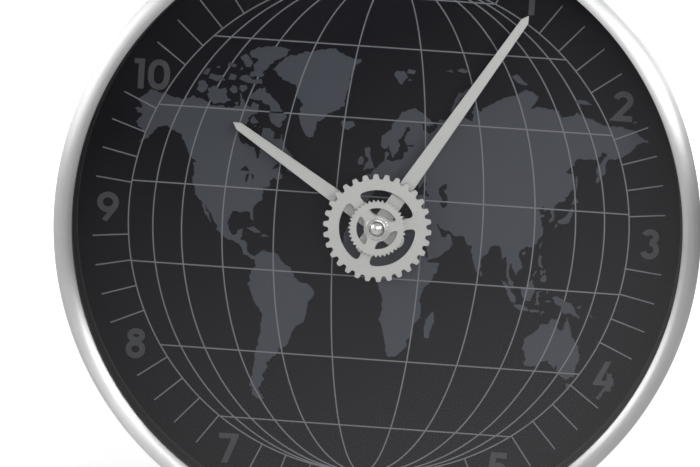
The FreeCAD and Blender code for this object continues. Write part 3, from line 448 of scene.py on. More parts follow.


# ---- World map ---------------------------------------------------------------------
# Coasts as (longitude, latitude) in degrees, drawn at a coarse scale.

MAINLANDS = {
    "north_america": [
        (-168, 65.6), (-162, 66.2), (-166, 68.3), (-156.5, 71.3), (-141, 69.7), (-135, 69), (-128, 70.2),
        (-120, 69.5), (-115, 68), (-108, 68), (-101, 67.8), (-95, 68.3), (-94.5, 71.8), (-91.5, 69.5),
        (-88, 68), (-85.5, 69.7), (-81.5, 69), (-82, 66.5), (-86.5, 66.2), (-88, 64), (-93.5, 61.5),
        (-94.5, 58.8), (-92.5, 57), (-88, 56.5), (-82.3, 55.2), (-81, 52), (-79.5, 51.4), (-79, 54.5),
        (-76.7, 57), (-78, 59.5), (-77.5, 62.5), (-73.5, 62.3), (-69.5, 61), (-69.5, 58.9), (-66, 58.8),
        (-64.5, 60.3), (-61.5, 56.5), (-57.5, 54.5), (-55.8, 52.5), (-60, 50.2), (-66.5, 50.2),
        (-70, 47.5), (-65, 49.2), (-65, 47), (-61, 45.5), (-65.5, 43.5), (-67, 45), (-70.5, 43.2),
        (-70, 41.7), (-74, 40.6), (-75.5, 35.3), (-81.3, 31.5), (-80.2, 25.5), (-81.8, 26), (-82.8, 28.5),
        (-84.5, 30), (-89.3, 29.2), (-94.8, 29.3), (-97.3, 27), (-97.7, 22), (-95.5, 18.7), (-91.5, 18.7),
        (-90.3, 21), (-87, 21.5), (-88.3, 16), (-84, 15.8), (-83.5, 11), (-79.8, 9.4), (-77.3, 8.5),
        (-78, 7.3), (-80.2, 7.5), (-83.5, 8.5), (-85.7, 10), (-87.7, 13), (-93.5, 15.8), (-97, 15.8),
        (-101.5, 17.6), (-105.5, 20.4), (-106, 23), (-109.3, 26), (-112.5, 29.8), (-114.7, 31.7),
        (-113, 28.8), (-110, 24.5), (-109.5, 23), (-112, 25.5), (-115, 28), (-117, 32.5), (-120.6, 34.5),
        (-122.5, 37.8), (-124.3, 40.4), (-124, 46.2), (-124.6, 48.3), (-122.7, 48.8), (-127.5, 51),
        (-130.5, 54.5), (-134, 58), (-139.5, 59.7), (-146, 60.8), (-151.5, 60.5), (-151.7, 59.2),
        (-154, 58.5), (-158.5, 56), (-164.5, 54.6), (-161, 56), (-157.5, 58.7), (-162, 58.7),
        (-166, 61.5), (-164.5, 63), (-161, 64.3), (-166, 64.5)],
    "south_america": [
        (-77.3, 8.5), (-75.5, 10.7), (-71.5, 12.3), (-71.5, 11), (-68, 11.5), (-62, 10.7), (-60, 8.5),
        (-57, 6), (-51.5, 4), (-50, 0.5), (-48, -1), (-44, -2.5), (-39, -3.5), (-35.2, -5.3),
        (-35, -8.5), (-39, -13), (-39.2, -17.5), (-41, -22), (-44.5, -23), (-48.5, -26), (-48.7, -28.5),
        (-52, -33), (-54.5, -34.8), (-58, -34.2), (-57, -36.5), (-62, -39), (-65, -41), (-63.7, -42.6),
        (-67.5, -46), (-65.8, -47.5), (-69, -50.5), (-68.5, -52.5), (-65.5, -54.8), (-68, -55.7),
        (-73, -53.5), (-75.5, -50), (-74.5, -46), (-73.5, -41.5), (-73.3, -37), (-71.5, -32),
        (-70.3, -25), (-70.3, -18.3), (-76, -14), (-79.5, -8), (-81.3, -5), (-80, -3), (-80.8, -1),
        (-79, 1.5), (-77.3, 4), (-77.8, 7)],
    "africa": [
        (-5.9, 35.8), (-2, 35.1), (3, 36.9), (10, 37.3), (11, 35), (10.3, 34), (15, 32.4), (19.5, 30.4),
        (20.2, 32.4), (23, 32.6), (29, 30.9), (32.3, 31.2), (32.6, 29.9), (35.5, 24), (37.2, 21),
        (38.5, 18), (43.2, 12.4), (43.3, 11.5), (51.2, 11.9), (49.5, 7), (46, 2.5), (42, -1.2),
        (39.2, -5), (40.5, -11), (40.5, -15.5), (35, -20), (35.5, -24), (32.8, -26), (32, -29),
        (28, -33), (25.7, -34), (20, -34.8), (18.3, -34), (17.3, -29.5), (14.5, -22.5), (11.8, -17.5),
        (13.7, -11.5), (12, -5), (9, -1), (9.5, 3.8), (7, 4.4), (4.5, 6.3), (-2, 4.9), (-7.6, 4.5),
        (-13, 9), (-16.8, 13), (-17.4, 14.7), (-16.3, 19), (-17, 21), (-14.5, 26), (-11.5, 28.2),
        (-9.7, 30.5), (-8.5, 33.3)],
    "eurasia": [
        (-5.6, 36.1), (-9, 37), (-9.4, 38.8), (-8.9, 43.2), (-1.8, 43.4), (-1.2, 45.8), (-4.6, 48.3),
        (-1.5, 48.7), (1.6, 50.5), (4.2, 52), (7, 53.6), (8.6, 53.9), (8.2, 57), (10.6, 57.6),
        (10, 54.7), (14.2, 54), (18.7, 54.6), (21, 55.5), (21.5, 57.5), (24.3, 57.3), (23.5, 59.2),
        (29.8, 60), (23, 60), (21.3, 61.5), (21.5, 63), (25.4, 65), (24, 65.8), (21.5, 64.5), (17.3, 61),
        (18.5, 60), (16.5, 57), (14.2, 55.5), (12.7, 56.3), (11, 59), (8, 58.1), (5.3, 59), (5, 61.8),
        (10, 64), (14, 67), (18, 69.5), (25.8, 71.1), (31, 70.3), (41, 67.2), (40.5, 66.4), (33, 66.7),
        (35, 64.3), (38, 64), (44, 66), (44.2, 68.4), (54, 68.3), (60.5, 69.7), (68.5, 68.3), (67, 71),
        (69.5, 73), (73, 71), (75, 72.5), (80.5, 73.5), (87, 75), (98, 76.3), (104.3, 77.7), (113, 75.8),
        (107, 73), (113.5, 73.6), (123.5, 73), (127, 73), (129.5, 71), (140, 72.5), (152, 71),
        (160, 69.7), (170, 69.8), (180, 69), (190, 66), (182.5, 65), (179, 62.5), (170.3, 60),
        (163.3, 59.8), (162, 57), (162, 55), (156.7, 51), (156, 56.5), (163, 61.5), (160, 61.8),
        (155, 59.3), (143, 59.3), (135.5, 54.6), (141, 53), (140.5, 48.5), (135, 43.5), (130.5, 42.4),
        (127.5, 39.8), (129.5, 37), (129, 35.1), (126.3, 34.5), (126.8, 37.5), (125, 39.7), (121.5, 39),
        (121, 40.8), (118, 39.2), (119, 37.3), (122.5, 37.2), (119.3, 35), (121.9, 31.5), (121.5, 28.5),
        (118, 24.3), (113.5, 22.2), (108.3, 21.5), (105.8, 19), (109.2, 12.5), (106.7, 10.3),
        (104.8, 8.7), (103, 11), (100.8, 13.4), (99.3, 10), (103.4, 4.2), (104.1, 1.4), (101.3, 3),
        (98.3, 8), (98.5, 13), (97.3, 16.8), (94.3, 16), (94, 19), (91.8, 22.5), (87, 21.3), (82.3, 16.6),
        (80.2, 15), (79.8, 10.3), (77.5, 8.1), (74.8, 13), (72.8, 19), (72.7, 21.3), (70, 21),
        (68.8, 23.3), (66.7, 25), (61.5, 25.1), (57, 26.7), (51, 28), (48.5, 30), (48, 29), (50.3, 26.6),
        (51.5, 24.2), (54.5, 24.2), (56.3, 26.2), (59.8, 22.5), (57.7, 19), (55, 17), (52, 15.6),
        (45, 12.8), (43.2, 13.2), (42.5, 16.8), (39, 21.5), (35, 28), (32.6, 29.9), (34.2, 31.3),
        (36, 36.8), (32, 36.2), (27.5, 36.8), (26.3, 39.2), (29, 41.2), (35, 42), (41.5, 41.5),
        (37.5, 44.7), (39, 47), (35, 46.2), (33.5, 44.5), (31, 46.6), (28.5, 43.5), (28, 41.5),
        (23.5, 40.5), (24, 38), (22.5, 36.5), (19.5, 40.5), (19.3, 42), (13.8, 45.2), (12.5, 44),
        (18.4, 40), (16, 38), (12.2, 41.8), (8.8, 44.4), (3.2, 43.2), (3, 41.8), (-0.3, 39.5),
        (-2, 36.8)],
    "greenland": [
        (-73, 78.3), (-65, 81), (-50, 82.4), (-32, 83.5), (-22, 82), (-12, 81.5), (-18, 79), (-20, 75),
        (-22, 72), (-22, 70.3), (-32, 68), (-40, 65), (-43, 60), (-48, 61), (-51.5, 64), (-53.5, 67),
        (-51, 70), (-54.5, 71.5), (-57, 75), (-66, 76)],
    "australia": [
        (113.3, -26.2), (114, -22), (117, -20.6), (122, -18), (126, -14), (129.5, -15), (132.5, -11.3),
        (136.8, -12.2), (135.5, -15), (140, -17.7), (142.5, -10.7), (145.4, -15), (146.5, -19),
        (150.8, -23.3), (153.5, -28), (151.5, -33.3), (150, -37.4), (146.5, -39), (143.5, -38.8),
        (140, -37.5), (138, -35.5), (137.8, -33), (135.5, -34.8), (131, -31.5), (126, -32.3),
        (123.5, -33.9), (118, -35), (115, -34.3), (115.7, -31.7)],
}
ISLANDS = [
    [(144.7, -40.7), (148.3, -40.9), (147.5, -43.4), (146, -43.5)],
    [(-5.5, 50.1), (1.4, 51.2), (0.3, 53), (-2, 55.8), (-1.8, 57.5), (-3, 58.6), (-6, 58), (-5, 55.5),
     (-3, 54), (-5, 52)],
    [(-10, 52), (-6.4, 52.2), (-6, 54.5), (-7.5, 55.3), (-10, 54)],
    [(-24, 65.5), (-22, 64), (-18.5, 63.4), (-14, 64.8), (-15, 66.3), (-20, 66), (-22.5, 66.4)],
    [(44, -25), (47, -25), (50.4, -15.8), (49.2, -12), (44.5, -16.2), (43.4, -22)],
    [(131, 34), (135.7, 33.5), (140, 35), (142, 39.5), (141.4, 41.4), (140, 40), (137, 37.2), (133, 35.5)],
    [(140.2, 42), (145.5, 43.3), (142, 45.4)], [(130, 31.3), (131.8, 33.2), (130, 33.5)],
    [(142, 46), (143.5, 49), (143, 54.3), (142, 52)],
    [(120.2, 13.8), (121.5, 13.3), (124, 12.6), (122, 15), (122.3, 18.5), (120.3, 18.6), (119.7, 16)],
    [(121.8, 6.8), (124, 5.8), (126.6, 6.6), (126.3, 9), (125.3, 10), (123.3, 8.4)],
    [(122, 9.5), (123.4, 9.2), (124, 11.2), (122, 11.9)],
    [(124.4, 10), (125.6, 10.6), (125.2, 12.6), (124.2, 11.6)],
    [(117, 8.2), (119.6, 10.8), (119.2, 11.6), (116.8, 9)],
    [(120, 22), (121, 22.3), (122, 25.2), (120.6, 24.4)],
    [(108.6, 18.4), (110.8, 18.6), (110.6, 20.2), (108.6, 19.7)],
    [(109, 1.5), (111, -3), (116, -4), (119, 1), (117.5, 5.5), (116.8, 7), (113, 3.2)],
    [(95.3, 5.6), (98.5, 1.5), (102, -4), (105.8, -5.9), (106, -2.5), (100.5, 2.5), (97.5, 5.2)],
    [(105.2, -6.2), (108.5, -6), (112.5, -6.4), (115.7, -7.8), (115.2, -9), (109, -8.4), (105.8, -7.6)],
    [(116, -8.2), (119.5, -7.9), (123, -8), (122.8, -9.1), (117, -9.4)],
    [(123.5, -10.4), (127.3, -8.4), (125, -8.4)],
    [(126.6, -3.2), (130.6, -2.8), (130.2, -3.8), (127, -3.8)],
    [(127.4, 0), (128.6, 1.2), (128, 2.2), (127.2, 1.2)],
    [(148.5, -5.6), (152, -4.2), (151.2, -6)], [(154.6, -5.4), (156, -6.6), (161, -9.8), (159.6, -9.8)],
    [(164, -20.2), (167, -22), (166, -22.4)],
    [(119.5, -5.5), (120.5, -2.8), (120, 0.8), (125, 1.5), (121, 0.4), (123, -1), (121.5, -2), (122.5, -5.3)],
    [(131, -0.8), (134.3, -1), (138, -1.6), (144.5, -3.9), (147.8, -6.2), (150.8, -10.5), (147, -9.5),
     (143.5, -8.5), (141, -9), (138, -8.2), (138, -5.5), (133, -4), (132.8, -2.5)],
    [(173, -34.5), (175.5, -36.8), (178.4, -37.7), (175.3, -41.5), (174.8, -39)],
    [(172.7, -40.6), (174.2, -41.7), (171, -44.3), (168.5, -46.6), (166.6, -45.8)],
    [(-81, 73.7), (-72, 71.3), (-62, 66.5), (-66, 62.5), (-72, 64), (-74, 66), (-73.5, 69), (-80, 70),
     (-89.5, 71)],
    [(-117, 69.9), (-113, 68.6), (-105, 69), (-101.5, 69.8), (-104.5, 71), (-105, 73), (-110, 72.7),
     (-114, 73.3), (-118.5, 72.3), (-116, 71.5), (-118, 71)],
    [(-90, 76.4), (-84, 76.2), (-79, 76.4), (-80.5, 77.4), (-77, 78.2), (-75.5, 79.3), (-71, 80.2),
     (-64, 81.6), (-62, 82.5), (-70, 83.1), (-79, 82.9), (-86, 82.4), (-91, 81.4), (-88, 80.6), (-84, 80.2),
     (-86.5, 79), (-86, 77.8), (-88.5, 77.2)],
    [(-96.5, 80.3), (-93, 81.2), (-89.5, 80.4), (-87.5, 79.4), (-89, 78.3), (-92.5, 78.4), (-93.5, 79.4)],
    [(-105, 78.3), (-99.5, 78), (-98.5, 78.7), (-104, 79.2)], [(-96.5, 77.6), (-94, 77.6), (-94.5, 78.4)],
    [(-125.5, 72), (-122.5, 71.3), (-119, 71.8), (-117.5, 73.3), (-121, 74.5), (-124.5, 74.3), (-124.3, 73)],
    [(-122, 76), (-118.5, 76), (-116.3, 77.4), (-119.5, 77.4)],
    [(-117.5, 75.2), (-112, 74.5), (-106, 74.9), (-108.5, 76.1), (-113, 75.9), (-116.5, 76.4)],
    [(-104, 75.2), (-99.5, 75), (-98, 76.3), (-102.5, 76.6)], [(-113, 77.7), (-110, 77.6), (-110.5, 78.3)],
    [(-96, 75.5), (-91.5, 74.7), (-86, 74.5), (-80, 74.7), (-80.5, 75.7), (-88, 75.6), (-90, 76.4),
     (-95, 76.4)],
    [(-102.5, 72.7), (-100, 71.6), (-97, 72), (-97.5, 73.3), (-100.5, 73.9)],
    [(-96, 73), (-93.5, 72), (-90.3, 73.1), (-91, 74), (-95, 74)],
    [(-99, 69.1), (-96.5, 68.5), (-95.5, 69.6)],
    [(-87, 64.2), (-85.5, 63.3), (-80.5, 63.8), (-84, 65.1), (-85, 66)],
    [(-80.5, 62), (-79.5, 62.4), (-80, 62.8)],
    [(-80.5, 73.2), (-76.5, 72.9), (-78.5, 73.8)], [(-84, 62.3), (-82, 62.8), (-83.5, 62.9)],
    [(-59.3, 47.7), (-53, 46.8), (-55.6, 51.5)], [(-84.8, 22), (-80, 23), (-74.3, 20.2), (-78, 19.9)],
    [(-74.3, 18.4), (-72.8, 19.9), (-68.5, 18.6)],
    [(11, 79), (13.5, 77.8), (16.5, 76.6), (18.5, 77.6), (21, 78.4), (18, 79.8), (13, 79.8)],
    [(20, 79.3), (25, 79.3), (26.5, 80), (21, 80.3)], [(21, 77.7), (24, 77.8), (22, 78.3)],
    [(52, 71), (57, 70.7), (56, 73), (60, 75), (68.5, 76.6), (64, 76.8), (57, 75.6), (54, 73.5)],
    [(96, 79.2), (100, 78.5), (105, 78.6), (101, 79.4), (96, 80.9), (93, 80.2)],
    [(137.5, 75.5), (142, 74.9), (150, 75), (145, 75.9), (140, 76)], [(140, 73.4), (143, 73.3), (141, 73.9)],
    [(47, 80.4), (52, 80.1), (51, 80.8)], [(54, 80.6), (60, 80.2), (63, 80.7), (58, 81.2)],
    [(179, 71), (182.5, 71.2), (180, 71.6)],
    [(79.8, 8.5), (81, 6), (81.8, 7.5), (80.2, 9.7)], [(12.5, 38), (15.6, 38.2), (15.1, 36.7)],
]
LAKES = {
    "eurasia": [
        [(49, 38.5), (50.3, 40.3), (47.8, 43), (47.5, 45), (51, 47), (53, 46.8), (53, 45), (50.8, 44.5),
         (53.8, 42), (53.8, 38), (51.5, 36.8)]],
    "north_america": [
        [(-92, 46.8), (-88, 48.8), (-84.8, 46.6)], [(-87.8, 42), (-86.3, 42.5), (-85, 45.8), (-87.5, 45.3)],
        [(-82.5, 43.2), (-81.5, 45), (-84, 46)]],
}
MAP_SCALE_X = 38.32
MAP_SCALE_Z = 54.65
MAP_SHIFT = (-4.66, -26.83)


def projected(coast):
    """Points on the dial: x is in proportion to longitude, z to 1.25 ln tan(45 deg + 0.4 latitude)."""
    lon, lat = np.radians(np.array(coast, float)).T
    z = 1.25 * np.log(np.tan(math.pi / 4 + 0.4 * lat))
    return np.stack([MAP_SHIFT[0] + MAP_SCALE_X * lon, MAP_SHIFT[1] + MAP_SCALE_Z * z], -1)


COAST_WAVES = ((7.0, 0.9), (3.6, 0.8), (2.1, 0.6), (1.3, 0.4))
FULL_ROUGHNESS_LENGTH = 40.0


def roughened(points, spacing, size, seed):
    """Closed chain resampled at a spacing and pushed along its normal by a sum of sines of its arc length,
    one for each (wavelength, weight), with seeded phases; a coast shorter than a limit is pushed less."""
    ring = np.vstack([points, points[:1]])
    step = np.linalg.norm(np.diff(ring, axis=0), axis=1)
    along = np.concatenate([[0], np.cumsum(step)])
    total = along[-1]
    count = max(int(total / spacing), 8)
    s = np.linspace(0, total, count, endpoint=False)
    flat = np.stack([np.interp(s, along, ring[:, 0]), np.interp(s, along, ring[:, 1])], -1)
    draw = np.random.default_rng(seed)
    push = np.zeros(count)
    turn = 2 * math.pi * s / total
    for wavelength, weight in COAST_WAVES:
        waves = max(round(total / wavelength), 2)
        swell = 1 + 0.8 * np.sin(turn * max(round(waves / 5), 1) + draw.uniform(0, 2 * math.pi))
        push += weight * swell * np.sin(turn * waves + draw.uniform(0, 2 * math.pi))
    limit = min(1.0, total / FULL_ROUGHNESS_LENGTH)
    return flat + sideways(flat) * (push * size * 0.5 * limit)[:, None]


# ---- Numerals ------------------------------------------------------------------------
# Each figure is drawn one unit high, its foot at z = 0, as rings, outlines and strokes.

STROKE = 0.195


def bow(centre, half_x, half_z, start, end, steps=28):
    """Points of an oval arc between two angles, anticlockwise from +X, in degrees."""
    turn = np.radians(np.linspace(start, end, steps))
    return np.stack([centre[0] + half_x * np.cos(turn), centre[1] + half_z * np.sin(turn)], -1)


def ring_of(centre, half_x, half_z, power=2.0):
    """Ring of the stroke's width inside an oval."""
    inner = oval(half_x - STROKE, half_z - STROKE, centre, 56, power)
    return "ring", oval(half_x, half_z, centre, 56, power), inner


def stroke(*parts):
    """Line of the stroke's width through points and arcs."""
    return "stroke", np.vstack([np.atleast_2d(np.array(part, float)) for part in parts])


def figures():
    """Width and shapes of each figure."""
    half = STROKE / 2
    nine = [ring_of((0.0, 0.655), 0.365, 0.345),
            ("outline", [(0.363, 0.60), (0.335, 0.49), (-0.01, -0.01), (-0.165, 0.075), (0.10, 0.44),
                         (0.168, 0.60)])]
    six = [(kind, *[np.array(p) * (-1, -1) + (0, 1) for p in shapes]) for kind, *shapes in nine]
    return {
        "0": (0.74, [ring_of((0, 0.5), 0.37, 0.51, 2.25)]),
        "1": (0.34, [("outline", [(-0.17, 1.0), (-0.17, 0.835), (-0.025, 0.835), (-0.025, 0.0), (0.17, 0.0),
                                  (0.17, 1.0)])]),
        "2": (0.66, [stroke(bow((0, 0.695), 0.235, 0.215, 168, -32), (-0.225, half), (0.33, half))]),
        "3": (0.64, [stroke(bow((0, 0.745), 0.195, 0.165, 162, -88)),
                     stroke(bow((0, 0.315), 0.225, 0.225, 92, -158))]),
        "4": (0.68, [("outline", [(0.02, 1.0), (0.21, 1.0), (-0.085, 0.355), (0.10, 0.355), (0.10, 0.60),
                                  (0.265, 0.60), (0.265, 0.355), (0.345, 0.355), (0.345, 0.185),
                                  (0.265, 0.185), (0.265, 0.0), (0.10, 0.0), (0.10, 0.185),
                                  (-0.345, 0.185), (-0.345, 0.25)])]),
        "5": (0.64, [stroke((0.27, 1 - half), (-0.165, 1 - half), (-0.20, 0.56),
                            bow((-0.005, 0.325), 0.235, 0.235, 118, -146))]),
        "6": (0.73, six),
        "7": (0.66, [("outline", [(-0.33, 1.0), (-0.33, 0.825), (0.085, 0.825), (-0.21, 0.0), (0.0, 0.0),
                                  (0.33, 0.925), (0.33, 1.0)])]),
        "8": (0.66, [ring_of((0, 0.765), 0.295, 0.245), ring_of((0, 0.305), 0.33, 0.315)]),
        "9": (0.73, nine),
    }


# ---- Materials -------------------------------------------------------------------------

def add(tree, kind, inputs=(), **settings):
    """New node with its settings, and its inputs linked or set."""
    node = tree.nodes.new(kind)
    for key, value in settings.items():
        setattr(node, key, value)
    for key, value in dict(inputs).items():
        if isinstance(value, bpy.types.NodeSocket):
            tree.links.new(value, node.inputs[key])
        else:
            node.inputs[key].default_value = value
    return node


def new_finish(name, **sockets):
    """Material with a Principled shader and some of its sockets set."""
    finish = bpy.data.materials.new(name)
    finish.use_nodes = True
    shader = finish.node_tree.nodes["Principled BSDF"]
    for key, value in sockets.items():
        shader.inputs[key.replace("_", " ")].default_value = value
    return finish, finish.node_tree, shader


def rgba(value, times=1.0):
    """Colour with its brightness scaled, and alpha 1."""
    return (*[min(max(c * times, 0.0), 1.0) for c in value], 1.0)


def noise_at(tree, scale, stretch=(1.0, 1.0, 1.0), detail=4.0, roughness=0.55, coordinates=None):
    """Noise on the object's own coordinates; scale is in cycles per metre."""
    if coordinates is None:
        coordinates = add(tree, "ShaderNodeTexCoord").outputs["Object"]
    mapping = add(tree, "ShaderNodeMapping", {"Vector": coordinates, "Scale": stretch})
    return add(tree, "ShaderNodeTexNoise", {"Vector": mapping.outputs[0], "Scale": scale, "Detail": detail,
                                            "Roughness": roughness}).outputs[0]


def spread(tree, value, low, high, start=0.3, end=0.7):
    """Value mapped from start..end to low..high."""
    return add(tree, "ShaderNodeMapRange", {"Value": value, "From Min": start, "From Max": end, "To Min": low,
                                            "To Max": high}).outputs[0]


def between(tree, factor, first, second):
    """Mix of two colours."""
    mix = add(tree, "ShaderNodeMix", {"Factor": factor}, data_type="RGBA")
    for key, value in (("A", first), ("B", second)):
        socket = [s for s in mix.inputs if s.name == key and s.type == "RGBA"][0]
        if isinstance(value, bpy.types.NodeSocket):
            tree.links.new(value, socket)
        else:
            socket.default_value = value
    return [s for s in mix.outputs if s.type == "RGBA"][0]


def grained(name, base, roughness, scale, shift=0.12, blur=0.06, relief=0.0, **sockets):
    """Finish whose colour, roughness and relief follow one noise; relief is in millimetres."""
    finish, tree, shader = new_finish(name, **sockets)
    value = noise_at(tree, scale)
    tone = between(tree, spread(tree, value, 0.0, 1.0), rgba(base, 1 - shift), rgba(base, 1 + shift))
    tree.links.new(tone, shader.inputs["Base Color"])
    tree.links.new(spread(tree, value, roughness - blur, roughness + blur), shader.inputs["Roughness"])
    if relief:
        bump = add(tree, "ShaderNodeBump", {"Height": value, "Strength": 1.0, "Distance": relief * MM})
        tree.links.new(bump.outputs[0], shader.inputs["Normal"])
    return finish


def brushed_rim(colours):
    """Satin metal brushed round the rim: what it reflects is blurred across the brushing, which gives the
    rim bright fans. Fine lines of one radius and depth run round it, and faint wear breaks the tone."""
    finish, tree, shader = new_finish("brushed_rim", Metallic=1.0, Anisotropic=0.96,
                                      Anisotropic_Rotation=0.25)
    place = add(tree, "ShaderNodeTexCoord").outputs["Object"]
    centred = add(tree, "ShaderNodeVectorMath", {0: place, 1: tuple(HUB)}, operation="SUBTRACT").outputs[0]
    parts = add(tree, "ShaderNodeSeparateXYZ", {0: centred}).outputs
    flat = add(tree, "ShaderNodeCombineXYZ", {"X": parts[0], "Z": parts[2]}).outputs[0]
    radius = add(tree, "ShaderNodeVectorMath", {0: flat}, operation="LENGTH").outputs["Value"]
    bearing = add(tree, "ShaderNodeMath", {0: parts[0], 1: parts[2]}, operation="ARCTAN2").outputs[0]
    lathe = add(tree, "ShaderNodeCombineXYZ", {"X": radius, "Y": parts[1], "Z": bearing}).outputs[0]
    left = add(tree, "ShaderNodeMath", {0: parts[0], 1: -1.0}, operation="MULTIPLY").outputs[0]
    round_it = add(tree, "ShaderNodeCombineXYZ", {"X": parts[2], "Z": left}).outputs[0]
    tree.links.new(round_it, shader.inputs["Tangent"])
    fine = noise_at(tree, 9000.0, (1.0, 1.0, 0.0008), 3.0, 0.6, lathe)
    coarse = noise_at(tree, 1900.0, (1.0, 1.0, 0.0015), 3.0, 0.6, lathe)
    cloud = noise_at(tree, 55.0)
    tone = between(tree, spread(tree, cloud, 0.0, 1.0), rgba(colours.metal, 0.97), rgba(colours.metal, 1.03))
    line_tone = between(tree, spread(tree, coarse, 0.0, 1.0), (0.93, 0.93, 0.93, 1.0), (1.0, 1.0, 1.0, 1.0))
    both = add(tree, "ShaderNodeMix", {"Factor": 1.0, 6: tone, 7: line_tone}, data_type="RGBA",
               blend_type="MULTIPLY").outputs[2]
    tree.links.new(both, shader.inputs["Base Color"])
    rough = add(tree, "ShaderNodeMath", {0: spread(tree, coarse, -0.03, 0.03), 1: spread(
        tree, cloud, colours.metal_roughness - 0.02, colours.metal_roughness + 0.02)}, operation="ADD")
    tree.links.new(rough.outputs[0], shader.inputs["Roughness"])
    bump = add(tree, "ShaderNodeBump", {"Height": fine, "Strength": 1.0, "Distance": 0.012 * MM})
    tree.links.new(bump.outputs[0], shader.inputs["Normal"])
    return finish


def clear_glass():
    """Thin flat glass: clear, with a mirror reflection on its front whose share follows the angle of view and
    counts both of the pane's faces."""
    finish = bpy.data.materials.new("clear_glass")
    finish.use_nodes = True
    tree = finish.node_tree
    tree.nodes.remove(tree.nodes["Principled BSDF"])
    smear = noise_at(tree, 28.0, (1.0, 1.0, 0.35), 2.0)
    mirror = add(tree, "ShaderNodeBsdfAnisotropic", {"Roughness": spread(tree, smear, 0.0, 0.02)})
    clear = add(tree, "ShaderNodeBsdfTransparent", {"Color": (0.982, 0.984, 0.983, 1.0)})
    fresnel = add(tree, "ShaderNodeFresnel", {"IOR": 1.8})
    front = add(tree, "ShaderNodeMixShader", {0: fresnel.outputs[0], 1: clear.outputs[0],
                                              2: mirror.outputs[0]})
    side = add(tree, "ShaderNodeNewGeometry").outputs["Backfacing"]
    pane = add(tree, "ShaderNodeMixShader", {0: side, 1: front.outputs[0], 2: clear.outputs[0]})
    tree.links.new(pane.outputs[0], tree.nodes["Material Output"].inputs["Surface"])
    return finish


def printed(name, base, roughness):
    """Screen-printed ink: a fine speckle in its colour and gloss."""
    return grained(name, base, roughness, 2600.0, 0.10, 0.05, Specular_IOR_Level=0.2)


BAND_SHARE = 0.24


def battery_sleeve(colours):
    """Plain sleeve with a darker band at the positive end, drawn along the cell's length."""
    finish, tree, shader = new_finish("battery_sleeve", Coat_Weight=0.4, Coat_Roughness=0.15, Metallic=0.3)
    place = add(tree, "ShaderNodeTexCoord").outputs["Object"]
    along = add(tree, "ShaderNodeSeparateXYZ", {0: place}).outputs[0]
    low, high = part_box("battery")
    cut = low.x + BAND_SHARE * (high.x - low.x)
    band = spread(tree, along, 0.0, 1.0, cut - 0.1 * MM, cut + 0.1 * MM)
    speck = noise_at(tree, 1800.0)
    sleeve = between(tree, speck, rgba(colours.sleeve, 0.92), rgba(colours.sleeve, 1.08))
    tree.links.new(between(tree, band, rgba(colours.band), sleeve), shader.inputs["Base Color"])
    tree.links.new(spread(tree, speck, 0.3, 0.4), shader.inputs["Roughness"])
    return finish


def wound_copper(colours):
    """Enamelled wire: fine turns across the coil's length, as bands of relief; the colour carries painted
    shade, darker in the grooves between the turns and lighter on their crowns.
    """
    finish, tree, shader = new_finish("wound_copper", Metallic=0.9, Coat_Weight=0.5, Coat_Roughness=0.1)
    place = add(tree, "ShaderNodeTexCoord").outputs["Object"]
    turns = add(tree, "ShaderNodeTexWave", {"Vector": place, "Scale": 2200.0, "Distortion": 1.2,
                                            "Detail": 1.0}, bands_direction="Z").outputs["Fac"]
    # Painted shade: the colour follows the turns' relief, dark in the grooves between turns and light on
    # their crowns.
    tree.links.new(between(tree, turns, rgba(colours.copper, 0.55), rgba(colours.copper, 1.1)),
                   shader.inputs["Base Color"])
    tree.links.new(spread(tree, turns, 0.42, 0.28, 0.0, 1.0), shader.inputs["Roughness"])
    bump = add(tree, "ShaderNodeBump", {"Height": turns, "Strength": 1.0, "Distance": 0.03 * MM})
    tree.links.new(bump.outputs[0], shader.inputs["Normal"])
    return finish


FINISHES = {}


def finishes():
    """Every finish, made once; where the record has a slot of that name, it is the slot's finish."""
    made = FINISHES
    if made:
        return made
    colours = bpy.context.scene.clock_colours
    made["brushed_rim"] = brushed_rim(colours)
    made["clear_glass"] = clear_glass()
    made["dial_print"] = grained("dial_ground", colours.dial, 0.5, 1500.0, 0.06, 0.015,
                                 Specular_IOR_Level=0.12)
    made["land_ink"] = printed("land_ink", colours.land, 0.5)
    made["grid_ink"] = printed("grid_ink", colours.grid, 0.45)
    made["numeral_ink"] = printed("numeral_ink", colours.numeral, 0.45)
    made["hand_silver"] = grained("hand_silver", colours.hand, 0.44, 3200.0, 0.05, 0.05, 0.002, Metallic=0.35)
    made["polished_nut"] = grained("polished_nut", colours.nut, 0.24, 300.0, 0.03, 0.05, Metallic=1.0)
    made["black_plastic"] = grained("black_plastic", colours.black, 0.5, 2400.0, 0.15, 0.07, 0.012)
    made["surround_black"] = grained("surround_black", colours.black, 0.6, 1600.0, 0.15, 0.05, 0.004)
    made["brass"] = grained("turned_brass", colours.brass, 0.26, 900.0, 0.07, 0.07, 0.001, Metallic=1.0)
    made["steel"] = grained("plated_steel", colours.steel, 0.3, 700.0, 0.06, 0.06, 0.001, Metallic=1.0)
    made["white_plastic"] = grained("acetal", colours.acetal, 0.4, 900.0, 0.05, 0.05, 0.003,
                                    Subsurface_Weight=0.05)
    made["magnet"] = grained("magnet", colours.magnet, 0.55, 1800.0, 0.3, 0.1, 0.006, Metallic=0.6)
    made["copper"] = wound_copper(colours)
    made["board"] = grained("board_lacquer", colours.board, 0.3, 500.0, 0.2, 0.08, 0.004, Coat_Weight=0.3)
    made["battery_jacket"] = battery_sleeve(colours)
    made["rubber"] = grained("rubber", colours.rubber, 0.75, 1400.0, 0.2, 0.06, 0.008)
    return made


def dress(node, finish):
    """Give a CAD node a finish in all its material slots."""
    shown = frame["nodes"][node]
    if not shown.material_slots:
        shown.data.materials.append(finish)
    for slot in shown.material_slots:
        slot.material = finish


# ---- Operators: case ------------------------------------------------------------------------

